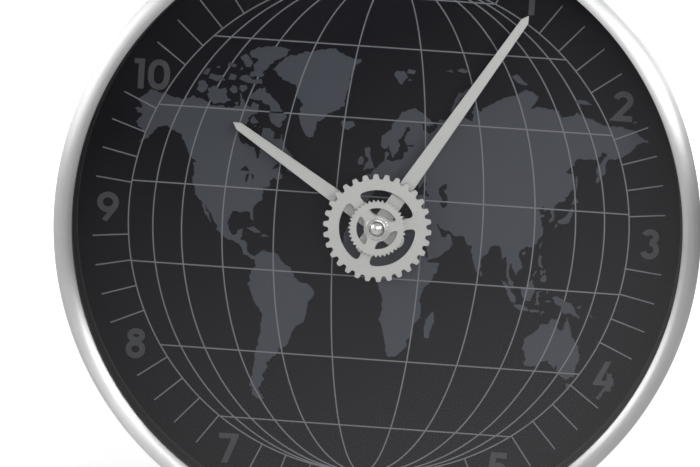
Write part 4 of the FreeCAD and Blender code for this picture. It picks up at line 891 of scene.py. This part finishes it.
class CLOCK_OT_rim(bpy.types.Operator):
    """Turned rim: straight wall, rounded nose, a lip that slopes down to the glass"""

    bl_idname = "clock.rim"
    bl_label = "Rim"

    def execute(self, context):
        sizes = context.scene.clock_sizes
        rear, front = depths("case_rim")
        outer = half_width("case_rim")
        nose = sizes.nose_radius / MM
        lip = sizes.lip_radius / MM
        setback = sizes.lip_setback / MM
        inside = outer - sizes.rim_wall / MM
        glass_front = depths("glass_lens")[1]
        turn = np.radians(np.linspace(0, 90, 20))
        arc = np.stack([outer - nose + nose * np.cos(turn), front - nose + nose * np.sin(turn)], -1)
        roll = bend(arc[-1], (lip + 1.55, front), (lip + 0.3, front - setback + 0.15), 12)[1:]
        edge = bend(roll[-1], (lip, front - setback - 0.15), (lip, front - setback - 0.6), 7)[1:]
        profile = np.vstack([
            [(inside, rear), (outer - 0.25, rear), (outer - 0.07, rear + 0.07), (outer, rear + 0.25)],
            arc, roll, edge, [(lip, glass_front + 0.02), (inside, glass_front + 0.02)]])
        soften(piece("rim_turned", [turned(profile, 360)], finishes()["brushed_rim"], BODY_CASE,
                     "brushed_rim", "case_rim"), 40)
        return {"FINISHED"}


class CLOCK_OT_glass(bpy.types.Operator):
    """Clear flat glass behind the lip"""

    bl_idname = "clock.glass"
    bl_label = "Glass"

    def execute(self, context):
        dress("glass_lens", finishes()["clear_glass"])
        return {"FINISHED"}


class CLOCK_OT_surround(bpy.types.Operator):
    """Dark ring between the dial and the glass, its inside drawn in slightly at the dial"""

    bl_idname = "clock.surround"
    bl_label = "Surround"

    def execute(self, context):
        rear, front = depths("dial_surround")
        outer = half_width("dial_surround")
        inner = outer - context.scene.clock_sizes.surround_wall / MM
        profile = [(outer, rear + 0.02), (outer, front - 0.02), (inner + 0.3, front - 0.02),
                   (inner, front - 0.32), (inner, rear + 1.2), (inner - 0.35, rear + 0.9),
                   (inner - 0.35, rear + 0.02)]
        soften(piece("surround_ring", [turned(profile, 300)], finishes()["surround_black"], BODY_CASE,
                     "black_plastic", "dial_surround"), 30)
        return {"FINISHED"}


# ---- Operators: dial -------------------------------------------------------------------------
# Prints that overlap end at depths a few thousandths apart, so that no two of them lie in one plane.

class CLOCK_OT_dial_ground(bpy.types.Operator):
    """Satin ground of the dial"""

    bl_idname = "clock.dial_ground"
    bl_label = "Dial ground"

    def execute(self, context):
        dress("dial", finishes()["dial_print"])
        return {"FINISHED"}


class CLOCK_OT_world_map(bpy.types.Operator):
    """Printed land: every coast is projected, roughened and filled as a thin layer of ink"""

    bl_idname = "clock.world_map"
    bl_label = "World map"

    def execute(self, context):
        sizes = context.scene.clock_sizes
        spacing = sizes.coast_spacing / MM
        size = sizes.coast_roughness / MM
        high = DIAL_FRONT + 0.6 * sizes.print_height / MM
        shells = []
        lands = [(coast, LAKES.get(name, [])) for name, coast in MAINLANDS.items()]
        lands += [(coast, []) for coast in ISLANDS]
        for order, (coast, lakes) in enumerate(lands):
            outline = roughened(projected(coast), spacing, size, order + 1)
            holes = [roughened(projected(lake), spacing, 0.5 * size, 100 + order) for lake in lakes]
            shells.append(plate(outline, holes, DIAL_FRONT, high + 0.0005 * order))
        piece("map_land", shells, finishes()["land_ink"], BODY_CASE, "dial_print")
        return {"FINISHED"}


PARALLELS = (0.914, 0.712, 0.424, 0.113, -0.210, -0.541, -0.813)
MERIDIANS = (0.177, 0.416, 0.623, 0.786, 0.9015)


class CLOCK_OT_globe_grid(bpy.types.Operator):
    """Grid of the globe: its circle, parallels as chords, and meridians x = share sqrt(R^2 - z^2)"""

    bl_idname = "clock.globe_grid"
    bl_label = "Globe grid"

    def execute(self, context):
        sizes = context.scene.clock_sizes
        radius = sizes.globe_radius / MM
        width = sizes.grid_line / MM
        high = DIAL_FRONT + sizes.print_height / MM
        shells = [ribbon(circle(radius, 240), width, DIAL_FRONT, high, True)]
        for share_z in PARALLELS:
            reach = math.sqrt(1 - share_z ** 2) * radius
            shells.append(ribbon([(-reach, share_z * radius), (reach, share_z * radius)], width, DIAL_FRONT,
                                 high - 0.002))
        turn = np.radians(np.linspace(-90, 90, 97))
        for order, share_x in enumerate(MERIDIANS):
            for side in (-1, 1):
                path = np.stack([side * share_x * radius * np.cos(turn), radius * np.sin(turn)], -1)
                lower = 0.004 + 0.0007 * (2 * order + (side + 1) / 2)
                shells.append(ribbon(path, width, DIAL_FRONT, high - lower))
        piece("globe_grid", shells, finishes()["grid_ink"], BODY_CASE, "dial_print")
        return {"FINISHED"}


class CLOCK_OT_minute_marks(bpy.types.Operator):
    """Minute marks outside the globe's circle, left out at the hours"""

    bl_idname = "clock.minute_marks"
    bl_label = "Minute marks"

    def execute(self, context):
        sizes = context.scene.clock_sizes
        start = (sizes.globe_radius + 0.4 * sizes.grid_line) / MM
        end = start + sizes.mark_length / MM
        high = DIAL_FRONT + sizes.print_height / MM - 0.002
        shells = [ribbon([polar(start, 6.0 * minute), polar(end, 6.0 * minute)], sizes.grid_line / MM,
                         DIAL_FRONT, high) for minute in range(60) if minute % 5]
        piece("minute_marks", shells, finishes()["grid_ink"], BODY_CASE, "dial_print")
        return {"FINISHED"}


class CLOCK_OT_numerals(bpy.types.Operator):
    """Upright figures round the dial, drawn from rings, outlines and strokes of one width"""

    bl_idname = "clock.numerals"
    bl_label = "Numerals"

    def execute(self, context):
        sizes = context.scene.clock_sizes
        tall = sizes.numeral_height / MM
        high = DIAL_FRONT + sizes.print_height / MM
        shapes = figures()
        gap = 0.12
        shells = []
        for hour in range(1, 13):
            text = str(hour)
            middle = polar(sizes.numeral_radius / MM, 30.0 * hour)
            total = sum(shapes[figure][0] for figure in text) + gap * (len(text) - 1)
            left = -total / 2
            for figure in text:
                width, parts = shapes[figure]
                place = middle + np.array([(left + width / 2) * tall, -tall / 2])
                for order, (kind, *loops) in enumerate(parts):
                    top = high + 0.001 * order
                    loops = [np.array(loop) * tall + place for loop in loops]
                    if kind == "stroke":
                        shells.append(ribbon(loops[0], STROKE * tall, DIAL_FRONT, top))
                    else:
                        shells.append(plate(loops[0], loops[1:], DIAL_FRONT, top))
                left += width + gap
        piece("numerals", shells, finishes()["numeral_ink"], BODY_CASE, "dial_print")
        return {"FINISHED"}


# ---- Operators: hands and hub ------------------------------------------------------------------

MINUTE_BEARING = 31.6
HOUR_BEARING = 302.2
HAND_SHEET = 0.8
HAND_POINT = 3.2
HAND_BUSH = 1.9
MINUTE_BORE = 1.75
HOUR_BORE = 2.5
SPOKE_BEARING = 78.4
HUB_SLOTS = 3
SLOT_INNER = 6.2
HUB_BORE = 1.8
HUB_RADIUS = 3.4
HUB_LAP = 0.1


def collar(bore, radius, rear, front):
    """Short tube behind a hand or a gear, its rear rim eased."""
    ease = 0.2
    return turned([(bore, rear), (radius - ease, rear), (radius, rear + ease), (radius, front),
                   (bore, front)], 72)


def blade(sizes, node, reach, tip, bearing, bore):
    """Flat hand: round tail, gentle taper and a short point, its edges eased, with a bush behind its bore."""
    root = sizes.hand_root / MM / 2
    tail = sizes.hand_tail / MM
    rear, front = depths(node)
    back = front - HAND_SHEET
    neck = reach - HAND_POINT
    nose = [(tip / 2, neck), (0.12, reach - 0.1), (-0.12, reach - 0.1), (-tip / 2, neck)]
    turn = np.radians(np.linspace(180, 360, 25))
    end = np.stack([root * np.cos(turn), -(tail - root) + root * np.sin(turn)], -1)
    outline = np.vstack([end, [(root, 0)], nose, [(-root, 0)]])
    flat = plate(outline, [circle(bore, 48)], back, front, sizes.sheet_edge / MM, 3)
    return [spun(flat, bearing), collar(bore, bore + HAND_BUSH, rear, back + HUB_LAP)]


def hub_gear(node, outline, slot, sheet, ease):
    """Sheet gear with a bore and slots on its collar; slot is their outer radius, spoke width and corner."""
    rear, front = depths(node)
    holes = [slot_outline(SLOT_INNER, *slot, SPOKE_BEARING + 360.0 / HUB_SLOTS * k, HUB_SLOTS)
             for k in range(HUB_SLOTS)]
    flat = plate(outline, holes + [circle(HUB_BORE, 48)], front - sheet, front, ease)
    return [flat, collar(HUB_BORE, HUB_RADIUS, rear, front - sheet + HUB_LAP)]


class CLOCK_OT_hands(bpy.types.Operator):
    """Hour and minute hand: stamped blades with eased edges on their bushes"""

    bl_idname = "clock.hands"
    bl_label = "Hands"

    def execute(self, context):
        sizes = context.scene.clock_sizes
        silver = finishes()["hand_silver"]
        hour = blade(sizes, "hour_hand", sizes.hour_length / MM, sizes.hour_tip / MM, HOUR_BEARING, HOUR_BORE)
        soften(piece("hour_hand_blade", hour, silver, BODY_HOUR, "hand_silver", "hour_hand"))
        minute = blade(sizes, "minute_hand", sizes.minute_length / MM, sizes.minute_tip / MM, MINUTE_BEARING,
                       MINUTE_BORE)
        soften(piece("minute_hand_blade", minute, silver, BODY_MINUTE, "hand_silver", "minute_hand"))
        return {"FINISHED"}


class CLOCK_OT_hub_gears(bpy.types.Operator):
    """Two stacked gears over the hands: blunt large teeth, fine small teeth, three long slots in each"""

    bl_idname = "clock.hub_gears"
    bl_label = "Hub gears"

    def execute(self, context):
        sizes = context.scene.clock_sizes
        silver = finishes()["hand_silver"]
        edge = sizes.sheet_edge / MM
        blunt = gear_outline(30, 7.0, [(22.8, 3.96), (25.2, 2.34)], 0.62)
        large = hub_gear("large_gear", blunt, (17.8, 5.2, 2.5), 1.2, edge)
        soften(piece("large_hub_gear", large, silver, BODY_MINUTE, "hand_silver", "large_gear"))
        fine = gear_outline(40, 7.5, [(12.3, 4.1), (13.42, 0.75)], 0.3)
        small = hub_gear("small_gear", fine, (9.6, 4.6, 1.0), 1.0, 0.8 * edge)
        soften(piece("small_hub_gear", small, silver, BODY_MINUTE, "hand_silver", "small_gear"))
        return {"FINISHED"}


class CLOCK_OT_cap_nut(bpy.types.Operator):
    """Polished nut: a thin flange with eased edges under a full dome r = R cos t, depth = H sin t"""

    bl_idname = "clock.cap_nut"
    bl_label = "Cap nut"

    def execute(self, context):
        radius = context.scene.clock_sizes.cap_radius / MM
        flange = half_width("cap_nut")
        rear, front = depths("cap_nut")
        top = rear + 0.7
        turn = np.radians(np.linspace(4, 90, 22))[:-1]
        dome = np.stack([radius * np.cos(turn), top + 0.35 + (front - top - 0.35) * np.sin(turn)], -1)
        profile = np.vstack([[(0, rear), (flange - 0.15, rear), (flange, rear + 0.15), (flange, top - 0.2),
                              (flange - 0.06, top - 0.06), (flange - 0.2, top), (flange - 0.24, top),
                              (radius, top)], dome, [(0, front)]])
        soften(piece("cap_nut_dome", [turned(profile, 96)], finishes()["polished_nut"], BODY_MINUTE,
                     "polished_nut", "cap_nut"), 50)
        return {"FINISHED"}


# ---- Operators: back and movement -----------------------------------------------------------------

SCREW_BEARINGS = (30, 90, 150, 210, 270, 330)
KEYHOLE_RADIUS = 5.0
KEYHOLE_SLOT_HALF = 2.3
KEYHOLE_RISE = 9.0
WINDOW_GAP = 0.8
WINDOW_WALL = 1.8
WINDOW_RISE = 7.0
RIBS = 8
RIB_HALF = 0.8
RIB_END_GAP = 8.8
MOULD_LAP = 0.2
SIGN_PLACE = (22.5, 0.5)
SIGN_ARM = 1.6
SIGN_HALF = 0.35
SIGN_RISE = 0.25


def keyhole_outline(z, radius, slot_half, rise):
    """Round entry with a narrower round-ended slot above it."""
    join = math.degrees(math.asin(slot_half / radius))
    entry = polar(radius, np.linspace(join, 360 - join, 41)) + np.array([0, z])
    top = polar(slot_half, np.linspace(-90, 90, 15)) + np.array([0, z + rise])
    return np.vstack([entry, top])


def pocketed(side, below, above, wall, rear, depth):
    """Closed box over the keyhole's back: four walls and a lid."""
    around = rectangle(-side - wall, side + wall, below - wall, above + wall)
    walls = plate(around, [rectangle(-side, side, below, above)], rear - MOULD_LAP, rear + depth, 0.0)
    return [walls, plate(around, [], rear + depth, rear + depth + wall, 0.4, 2)]


class CLOCK_OT_back_cover(bpy.types.Operator):
    """Moulded back: plate with keyhole, movement window and screw pockets, ribs and posts behind the dial"""

    bl_idname = "clock.back_cover"
    bl_label = "Back cover"

    def execute(self, context):
        sizes = context.scene.clock_sizes
        radius = half_width("back_cover")
        front = depths("back_cover")[1]
        thick = depths("case_rim")[0]
        window = half_width("movement_rear_housing") + WINDOW_GAP
        walled = window + WINDOW_WALL
        hang = -HUB.z / MM
        pocket = sizes.screw_head / MM + 0.7
        screws = [polar(sizes.screw_circle / MM, bearing) for bearing in SCREW_BEARINGS]
        opening = rectangle(-window, window, -window, window)
        keyhole = keyhole_outline(hang, KEYHOLE_RADIUS, KEYHOLE_SLOT_HALF, KEYHOLE_RISE)
        holes = [keyhole, opening] + [circle(pocket, 40) + screw for screw in screws]
        shells = [plate(circle(radius, 300), holes, 0.0, thick, 0.4, 4),
                  plate(rectangle(-walled, walled, -walled, walled), [opening], thick - MOULD_LAP,
                        thick + WINDOW_RISE, 0.3, 2)]
        half_step = 180.0 / RIBS
        start = (window + WINDOW_WALL / 2) / math.cos(math.radians(half_step))
        block = rectangle(-RIB_HALF, RIB_HALF, start, radius - RIB_END_GAP)
        rib = plate(block, [], thick - MOULD_LAP, front, 0.25, 2)
        shells += [spun(rib, half_step + 2 * half_step * k) for k in range(RIBS)]
        for x, z in screws:
            post = [(0, 1.9), (pocket + 1.4, 1.9), (pocket + 1.2, front), (0, front)]
            shells.append(turned(post, 48, (x, z)))
        side = KEYHOLE_RADIUS + 1.5
        shells += pocketed(side, hang - side, hang + KEYHOLE_RISE + side, 1.6, thick, 9.0)
        soften(piece("back_cover_moulding", shells, finishes()["black_plastic"], BODY_CASE, "black_plastic",
                     "back_cover"))
        return {"FINISHED"}


class CLOCK_OT_cover_screws(bpy.types.Operator):
    """Six cross-slotted screws in the back's pockets"""

    bl_idname = "clock.cover_screws"
    bl_label = "Cover screws"

    def execute(self, context):
        sizes = context.scene.clock_sizes
        head = sizes.screw_head / MM
        arm, half = 0.55 * head, 0.14 * head
        cross = [(-half, arm), (-half, half), (-arm, half), (-arm, -half), (-half, -half), (-half, -arm),
                 (half, -arm), (half, -half), (arm, -half), (arm, half), (half, half), (half, arm)]
        shells = []
        for order, bearing in enumerate(SCREW_BEARINGS):
            x, z = polar(sizes.screw_circle / MM, bearing)
            top = spun(plate(circle(head, 48), [cross], 0.45, 1.35, 0.3, 4), 23.0 * order)
            shells += [moved(top, x, z), moved(plate(circle(head - 0.02, 48), [], 1.3, 1.95, 0.0), x, z)]
        soften(piece("cover_screws", shells, finishes()["steel"], BODY_CASE, "steel"))
        return {"FINISHED"}


class CLOCK_OT_battery(bpy.types.Operator):
    """Round cell: crimped sleeve, recessed flat end and a raised button at the other"""

    bl_idname = "clock.battery"
    bl_label = "Battery"

    def execute(self, context):
        low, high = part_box("battery")
        radius = (high.z - low.z) / 2 / MM
        total = (high.x - low.x) / MM
        profile = [(0, 0), (2.4, 0), (2.7, 0.25), (2.7, 1.2), (3.2, 1.25), (5.6, 1.25), (5.9, 1.2),
                   (radius - 0.55, 1.2), (radius - 0.15, 1.35), (radius, 1.75), (radius, total - 0.6),
                   (radius - 0.15, total - 0.15), (radius - 0.6, total), (radius - 1.1, total),
                   (radius - 1.25, total - 0.25), (0, total - 0.25)]
        points, bands = turned(profile, 120)
        start_x = (low.x - HUB.x) / MM
        middle_z = ((low.z + high.z) / 2 - HUB.z) / MM
        middle_depth = -(low.y + high.y) / 2 / MM
        along = np.stack([points[:, 2] + start_x, points[:, 0] + middle_z, points[:, 1] + middle_depth], -1)
        shell = facing_out(along, bands)
        soften(piece("battery_cell", [shell], finishes()["battery_jacket"], BODY_CASE, "battery_jacket",
                     "battery"))
        return {"FINISHED"}


class CLOCK_OT_movement(bpy.types.Operator):
    """Finishes of all solids but the dial and the glass, and raised signs on the movement's back"""

    bl_idname = "clock.movement"
    bl_label = "Movement"

    def execute(self, context):
        made = finishes()
        for subpart in frame["record"]["subparts"]:
            if subpart["node"] not in ("dial", "glass_lens"):
                dress(subpart["node"], made[subpart["material_slot"]])
        back = depths("movement_rear_housing")[0]
        x, z = SIGN_PLACE
        bars = [rectangle(side * x - SIGN_ARM, side * x + SIGN_ARM, z - SIGN_HALF, z + SIGN_HALF)
                for side in (-1, 1)]
        bars += [rectangle(-x - SIGN_HALF, -x + SIGN_HALF, z + low, z + high)
                 for low, high in ((-SIGN_ARM, -SIGN_HALF), (SIGN_HALF, SIGN_ARM))]
        signs = [plate(bar, [], back - SIGN_RISE, back + 0.05, 0.08, 2) for bar in bars]
        piece("housing_signs", signs, made["black_plastic"], BODY_CASE, "black_plastic")
        return {"FINISHED"}


# ---- Operators: stage -------------------------------------------------------------------------------

PHOTO_WIDTH = 700
FOCAL_PIXELS = 5190.0
UNIT = 1.169
CAMERA_TURN = (6.64, -2.184, -3.744)
CAMERA_SHIFT = (11.26, 3.23, 2070.85)
PALING = (0.40, 0.0, -0.92)
PALE_BEFORE = 0.034
PALE_AFTER = 0.109
ROOM_BRIGHT = (-0.92, 0.0, 0.39)
ROOM_DIM = (0.9986, 0.0, 0.052)
ROOM_PALE = (-0.64, 0.0, -0.77)
ROOM_LEVEL = 0.52
DIFFUSE_LEVEL = 0.6
DARK_PATCH = (17.0, 9.0)
FLOOR_REACH = 12.0
FLOOR_GAP = 0.0002
LAMPS = (
    ("key_lamp", (1.52, -2.10, 0.72), 0.7, 22.0),
    ("front_lamp", (0.25, -2.30, 0.55), 0.9, 13.0),
    ("left_lamp", (-1.83, -0.93, 0.78), 1.4, 12.0),
    ("back_lamp", (0.8, 1.9, 1.4), 1.4, 30.0),
)


def rotation(axis, degrees):
    """Rotation about one axis."""
    return Matrix.Rotation(math.radians(degrees), 3, axis)


class CLOCK_OT_stage(bpy.types.Operator):
    """Camera at the photo's angle, pale floor, soft lamps and a white surround"""

    bl_idname = "clock.stage"
    bl_label = "Stage"

    def execute(self, context):
        scene = context.scene
        scene.view_settings.view_transform = "Standard"
        self.camera(scene)
        self.floor(scene)
        self.lamps(scene)
        self.surroundings(scene)
        return {"FINISHED"}

    def camera(self, scene):
        """Camera whose place and turn follow from how the dial's circle and marks lie in the photo."""
        pitch, yaw, roll = CAMERA_TURN
        turn = rotation("Z", roll) @ rotation("X", pitch) @ rotation("Y", yaw)
        upright = Matrix(((1, 0, 0), (0, 0, 1), (0, -1, 0)))
        to_world = (turn @ upright).transposed()
        shift = Vector((CAMERA_SHIFT[0], CAMERA_SHIFT[1], -CAMERA_SHIFT[2]))
        place = to_world @ (-shift) * UNIT * MM + HUB + Vector((0, -DIAL_FRONT * MM, 0))
        data = bpy.data.cameras.new("camera")
        data.sensor_width = 36.0
        data.lens = FOCAL_PIXELS / PHOTO_WIDTH * data.sensor_width
        data.clip_end = 50.0
        made = bpy.data.objects.new("camera", data)
        scene.collection.objects.link(made)
        made.matrix_world = Matrix.Translation(place) @ to_world.to_4x4()
        scene.camera = made

    def floor(self, scene):
        """Wide pale floor just under the clock; it fades into the white surround and keeps the shadow."""
        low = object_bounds()[0][2] - FLOOR_GAP
        corners = rectangle(-FLOOR_REACH, FLOOR_REACH, -FLOOR_REACH, FLOOR_REACH)
        mesh = bpy.data.meshes.new("floor")
        mesh.from_pydata([(x, y, low) for x, y in corners.tolist()], [], [(0, 1, 2, 3)])
        made = bpy.data.objects.new("floor", mesh)
        scene.collection.objects.link(made)
        finish, tree, shader = new_finish("floor_paper", Roughness=0.9, Specular_IOR_Level=0.2)
        tone = scene.clock_colours.floor
        place = add(tree, "ShaderNodeTexCoord").outputs["Object"]
        speck = noise_at(tree, 40.0, coordinates=place)
        shade = between(tree, speck, rgba(tone, 0.985), rgba(tone, 1.015))
        tree.links.new(shade, shader.inputs["Base Color"])
        away = add(tree, "ShaderNodeVectorMath", {0: place}, operation="LENGTH").outputs["Value"]
        path = add(tree, "ShaderNodeLightPath")
        fade = spread(tree, away, 0.22, 0.8, 0.45, 1.8)
        strength = add(tree, "ShaderNodeMath", {0: fade, 1: path.outputs["Is Camera Ray"]},
                       operation="MULTIPLY").outputs[0]
        glow = add(tree, "ShaderNodeEmission", {"Strength": strength})
        lit = add(tree, "ShaderNodeAddShader", {0: shader.outputs[0], 1: glow.outputs[0]})
        clear = add(tree, "ShaderNodeBsdfTransparent")
        seen = add(tree, "ShaderNodeMixShader", {0: path.outputs["Is Glossy Ray"], 1: lit.outputs[0],
                                                 2: clear.outputs[0]})
        tree.links.new(seen.outputs[0], tree.nodes["Material Output"].inputs["Surface"])
        mesh.materials.append(finish)
        made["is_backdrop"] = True

    def lamps(self, scene):
        """Large soft lamps round the clock, each a name, a place from the arbor, a width and a power."""
        for name, place, size, power in LAMPS:
            data = bpy.data.lights.new(name, "AREA")
            data.shape = "DISK"
            data.size = size
            data.energy = power
            made = bpy.data.objects.new(name, data)
            scene.collection.objects.link(made)
            made.location = HUB + Vector(place)
            made.rotation_euler = (HUB - made.location).to_track_quat("-Z", "Y").to_euler()

    def surroundings(self, scene):
        """White room, brightest from the left; where the glass mirrors it towards the camera it is dark, and
        pales downwards and to the right."""
        world = bpy.data.worlds.new("room")
        world.use_nodes = True
        scene.world = world
        tree = world.node_tree
        background = tree.nodes["Background"]
        ahead = scene.camera.matrix_world.to_3x3() @ Vector((0, 0, -1))
        mirrored = Vector((ahead.x, -ahead.y, ahead.z))
        paling = Vector(PALING).normalized()
        way = add(tree, "ShaderNodeTexCoord").outputs["Generated"]

        parts = add(tree, "ShaderNodeSeparateXYZ", {0: way}).outputs
        flat = add(tree, "ShaderNodeCombineXYZ", {"X": parts[0], "Z": parts[2]}).outputs[0]
        sideways_on = add(tree, "ShaderNodeVectorMath", {0: flat}, operation="NORMALIZE").outputs[0]

        def along(direction, of=way):
            return add(tree, "ShaderNodeVectorMath", {0: of, 1: tuple(direction)},
                       operation="DOT_PRODUCT").outputs["Value"]

        middle = mirrored.dot(paling)
        dark = spread(tree, along(paling), 0.01, 0.9, middle - PALE_BEFORE, middle + PALE_AFTER)
        bright = spread(tree, along(ROOM_BRIGHT, sideways_on), 0.0, 0.42, 0.86, 0.99)
        dim = spread(tree, along(ROOM_DIM, sideways_on), 0.0, 0.36, 0.94, 0.9945)
        pale = spread(tree, along(ROOM_PALE, sideways_on), 0.0, 0.24, -0.2, 1.0)
        lit = add(tree, "ShaderNodeMath", {0: pale, 1: bright}, operation="ADD").outputs[0]
        change = add(tree, "ShaderNodeMath", {0: lit, 1: dim}, operation="SUBTRACT").outputs[0]
        off_axis = add(tree, "ShaderNodeVectorMath", {0: flat}, operation="LENGTH").outputs["Value"]
        reach = spread(tree, off_axis, 0.0, 1.0, 0.3, 0.75)
        room = add(tree, "ShaderNodeMath", {0: change, 1: reach, 2: ROOM_LEVEL},
                   operation="MULTIPLY_ADD").outputs[0]
        outer, inner = (math.cos(math.radians(angle)) for angle in DARK_PATCH)
        inside = spread(tree, along(mirrored), 0.0, 1.0, outer, inner)
        path = add(tree, "ShaderNodeLightPath").outputs
        glossy = add(tree, "ShaderNodeMix", {0: inside, 2: room, 3: dark}, data_type="FLOAT").outputs[0]
        level = add(tree, "ShaderNodeMix", {0: path["Is Glossy Ray"], 2: DIFFUSE_LEVEL, 3: glossy},
                    data_type="FLOAT").outputs[0]
        seen = add(tree, "ShaderNodeMath", {0: path["Is Camera Ray"], 1: path["Is Transmission Ray"]},
                   operation="MAXIMUM").outputs[0]
        strength = add(tree, "ShaderNodeMix", {0: seen, 2: level, 3: 1.0}, data_type="FLOAT").outputs[0]
        tree.links.new(strength, background.inputs["Strength"])
        background.inputs["Color"].default_value = (1, 1, 1, 1)


# ---- Panel and registration ----------------------------------------------------------------------------

BUILDERS = (CLOCK_OT_rim, CLOCK_OT_glass, CLOCK_OT_surround, CLOCK_OT_dial_ground, CLOCK_OT_world_map,
            CLOCK_OT_globe_grid, CLOCK_OT_minute_marks, CLOCK_OT_numerals, CLOCK_OT_hands, CLOCK_OT_hub_gears,
            CLOCK_OT_cap_nut, CLOCK_OT_back_cover, CLOCK_OT_cover_screws, CLOCK_OT_battery, CLOCK_OT_movement,
            CLOCK_OT_stage)


class CLOCK_PT_builder(bpy.types.Panel):
    """Sizes, colours and one button for each piece"""

    bl_idname = "CLOCK_PT_builder"
    bl_label = "World clock"
    bl_space_type = "VIEW_3D"
    bl_region_type = "UI"
    bl_category = "World clock"

    def draw(self, context):
        layout = self.layout
        for group in (context.scene.clock_sizes, context.scene.clock_colours):
            box = layout.box()
            for name in group.__annotations__:
                box.prop(group, name)
        for builder in BUILDERS:
            layout.operator(builder.bl_idname)


CLASSES = (ClockSizes, ClockColours, *BUILDERS, CLOCK_PT_builder)


def register():
    """Register the classes and hang the two groups on the scene."""
    for made in CLASSES:
        bpy.utils.register_class(made)
    bpy.types.Scene.clock_sizes = bpy.props.PointerProperty(type=ClockSizes)
    bpy.types.Scene.clock_colours = bpy.props.PointerProperty(type=ClockColours)


def unregister():
    """Undo register."""
    del bpy.types.Scene.clock_colours
    del bpy.types.Scene.clock_sizes
    for made in reversed(CLASSES):
        bpy.utils.unregister_class(made)


def main():
    """Build everything in order."""
    register()
    for builder in BUILDERS:
        group, name = builder.bl_idname.split(".")
        getattr(getattr(bpy.ops, group), name)()


if __name__ == "__main__":
    main()
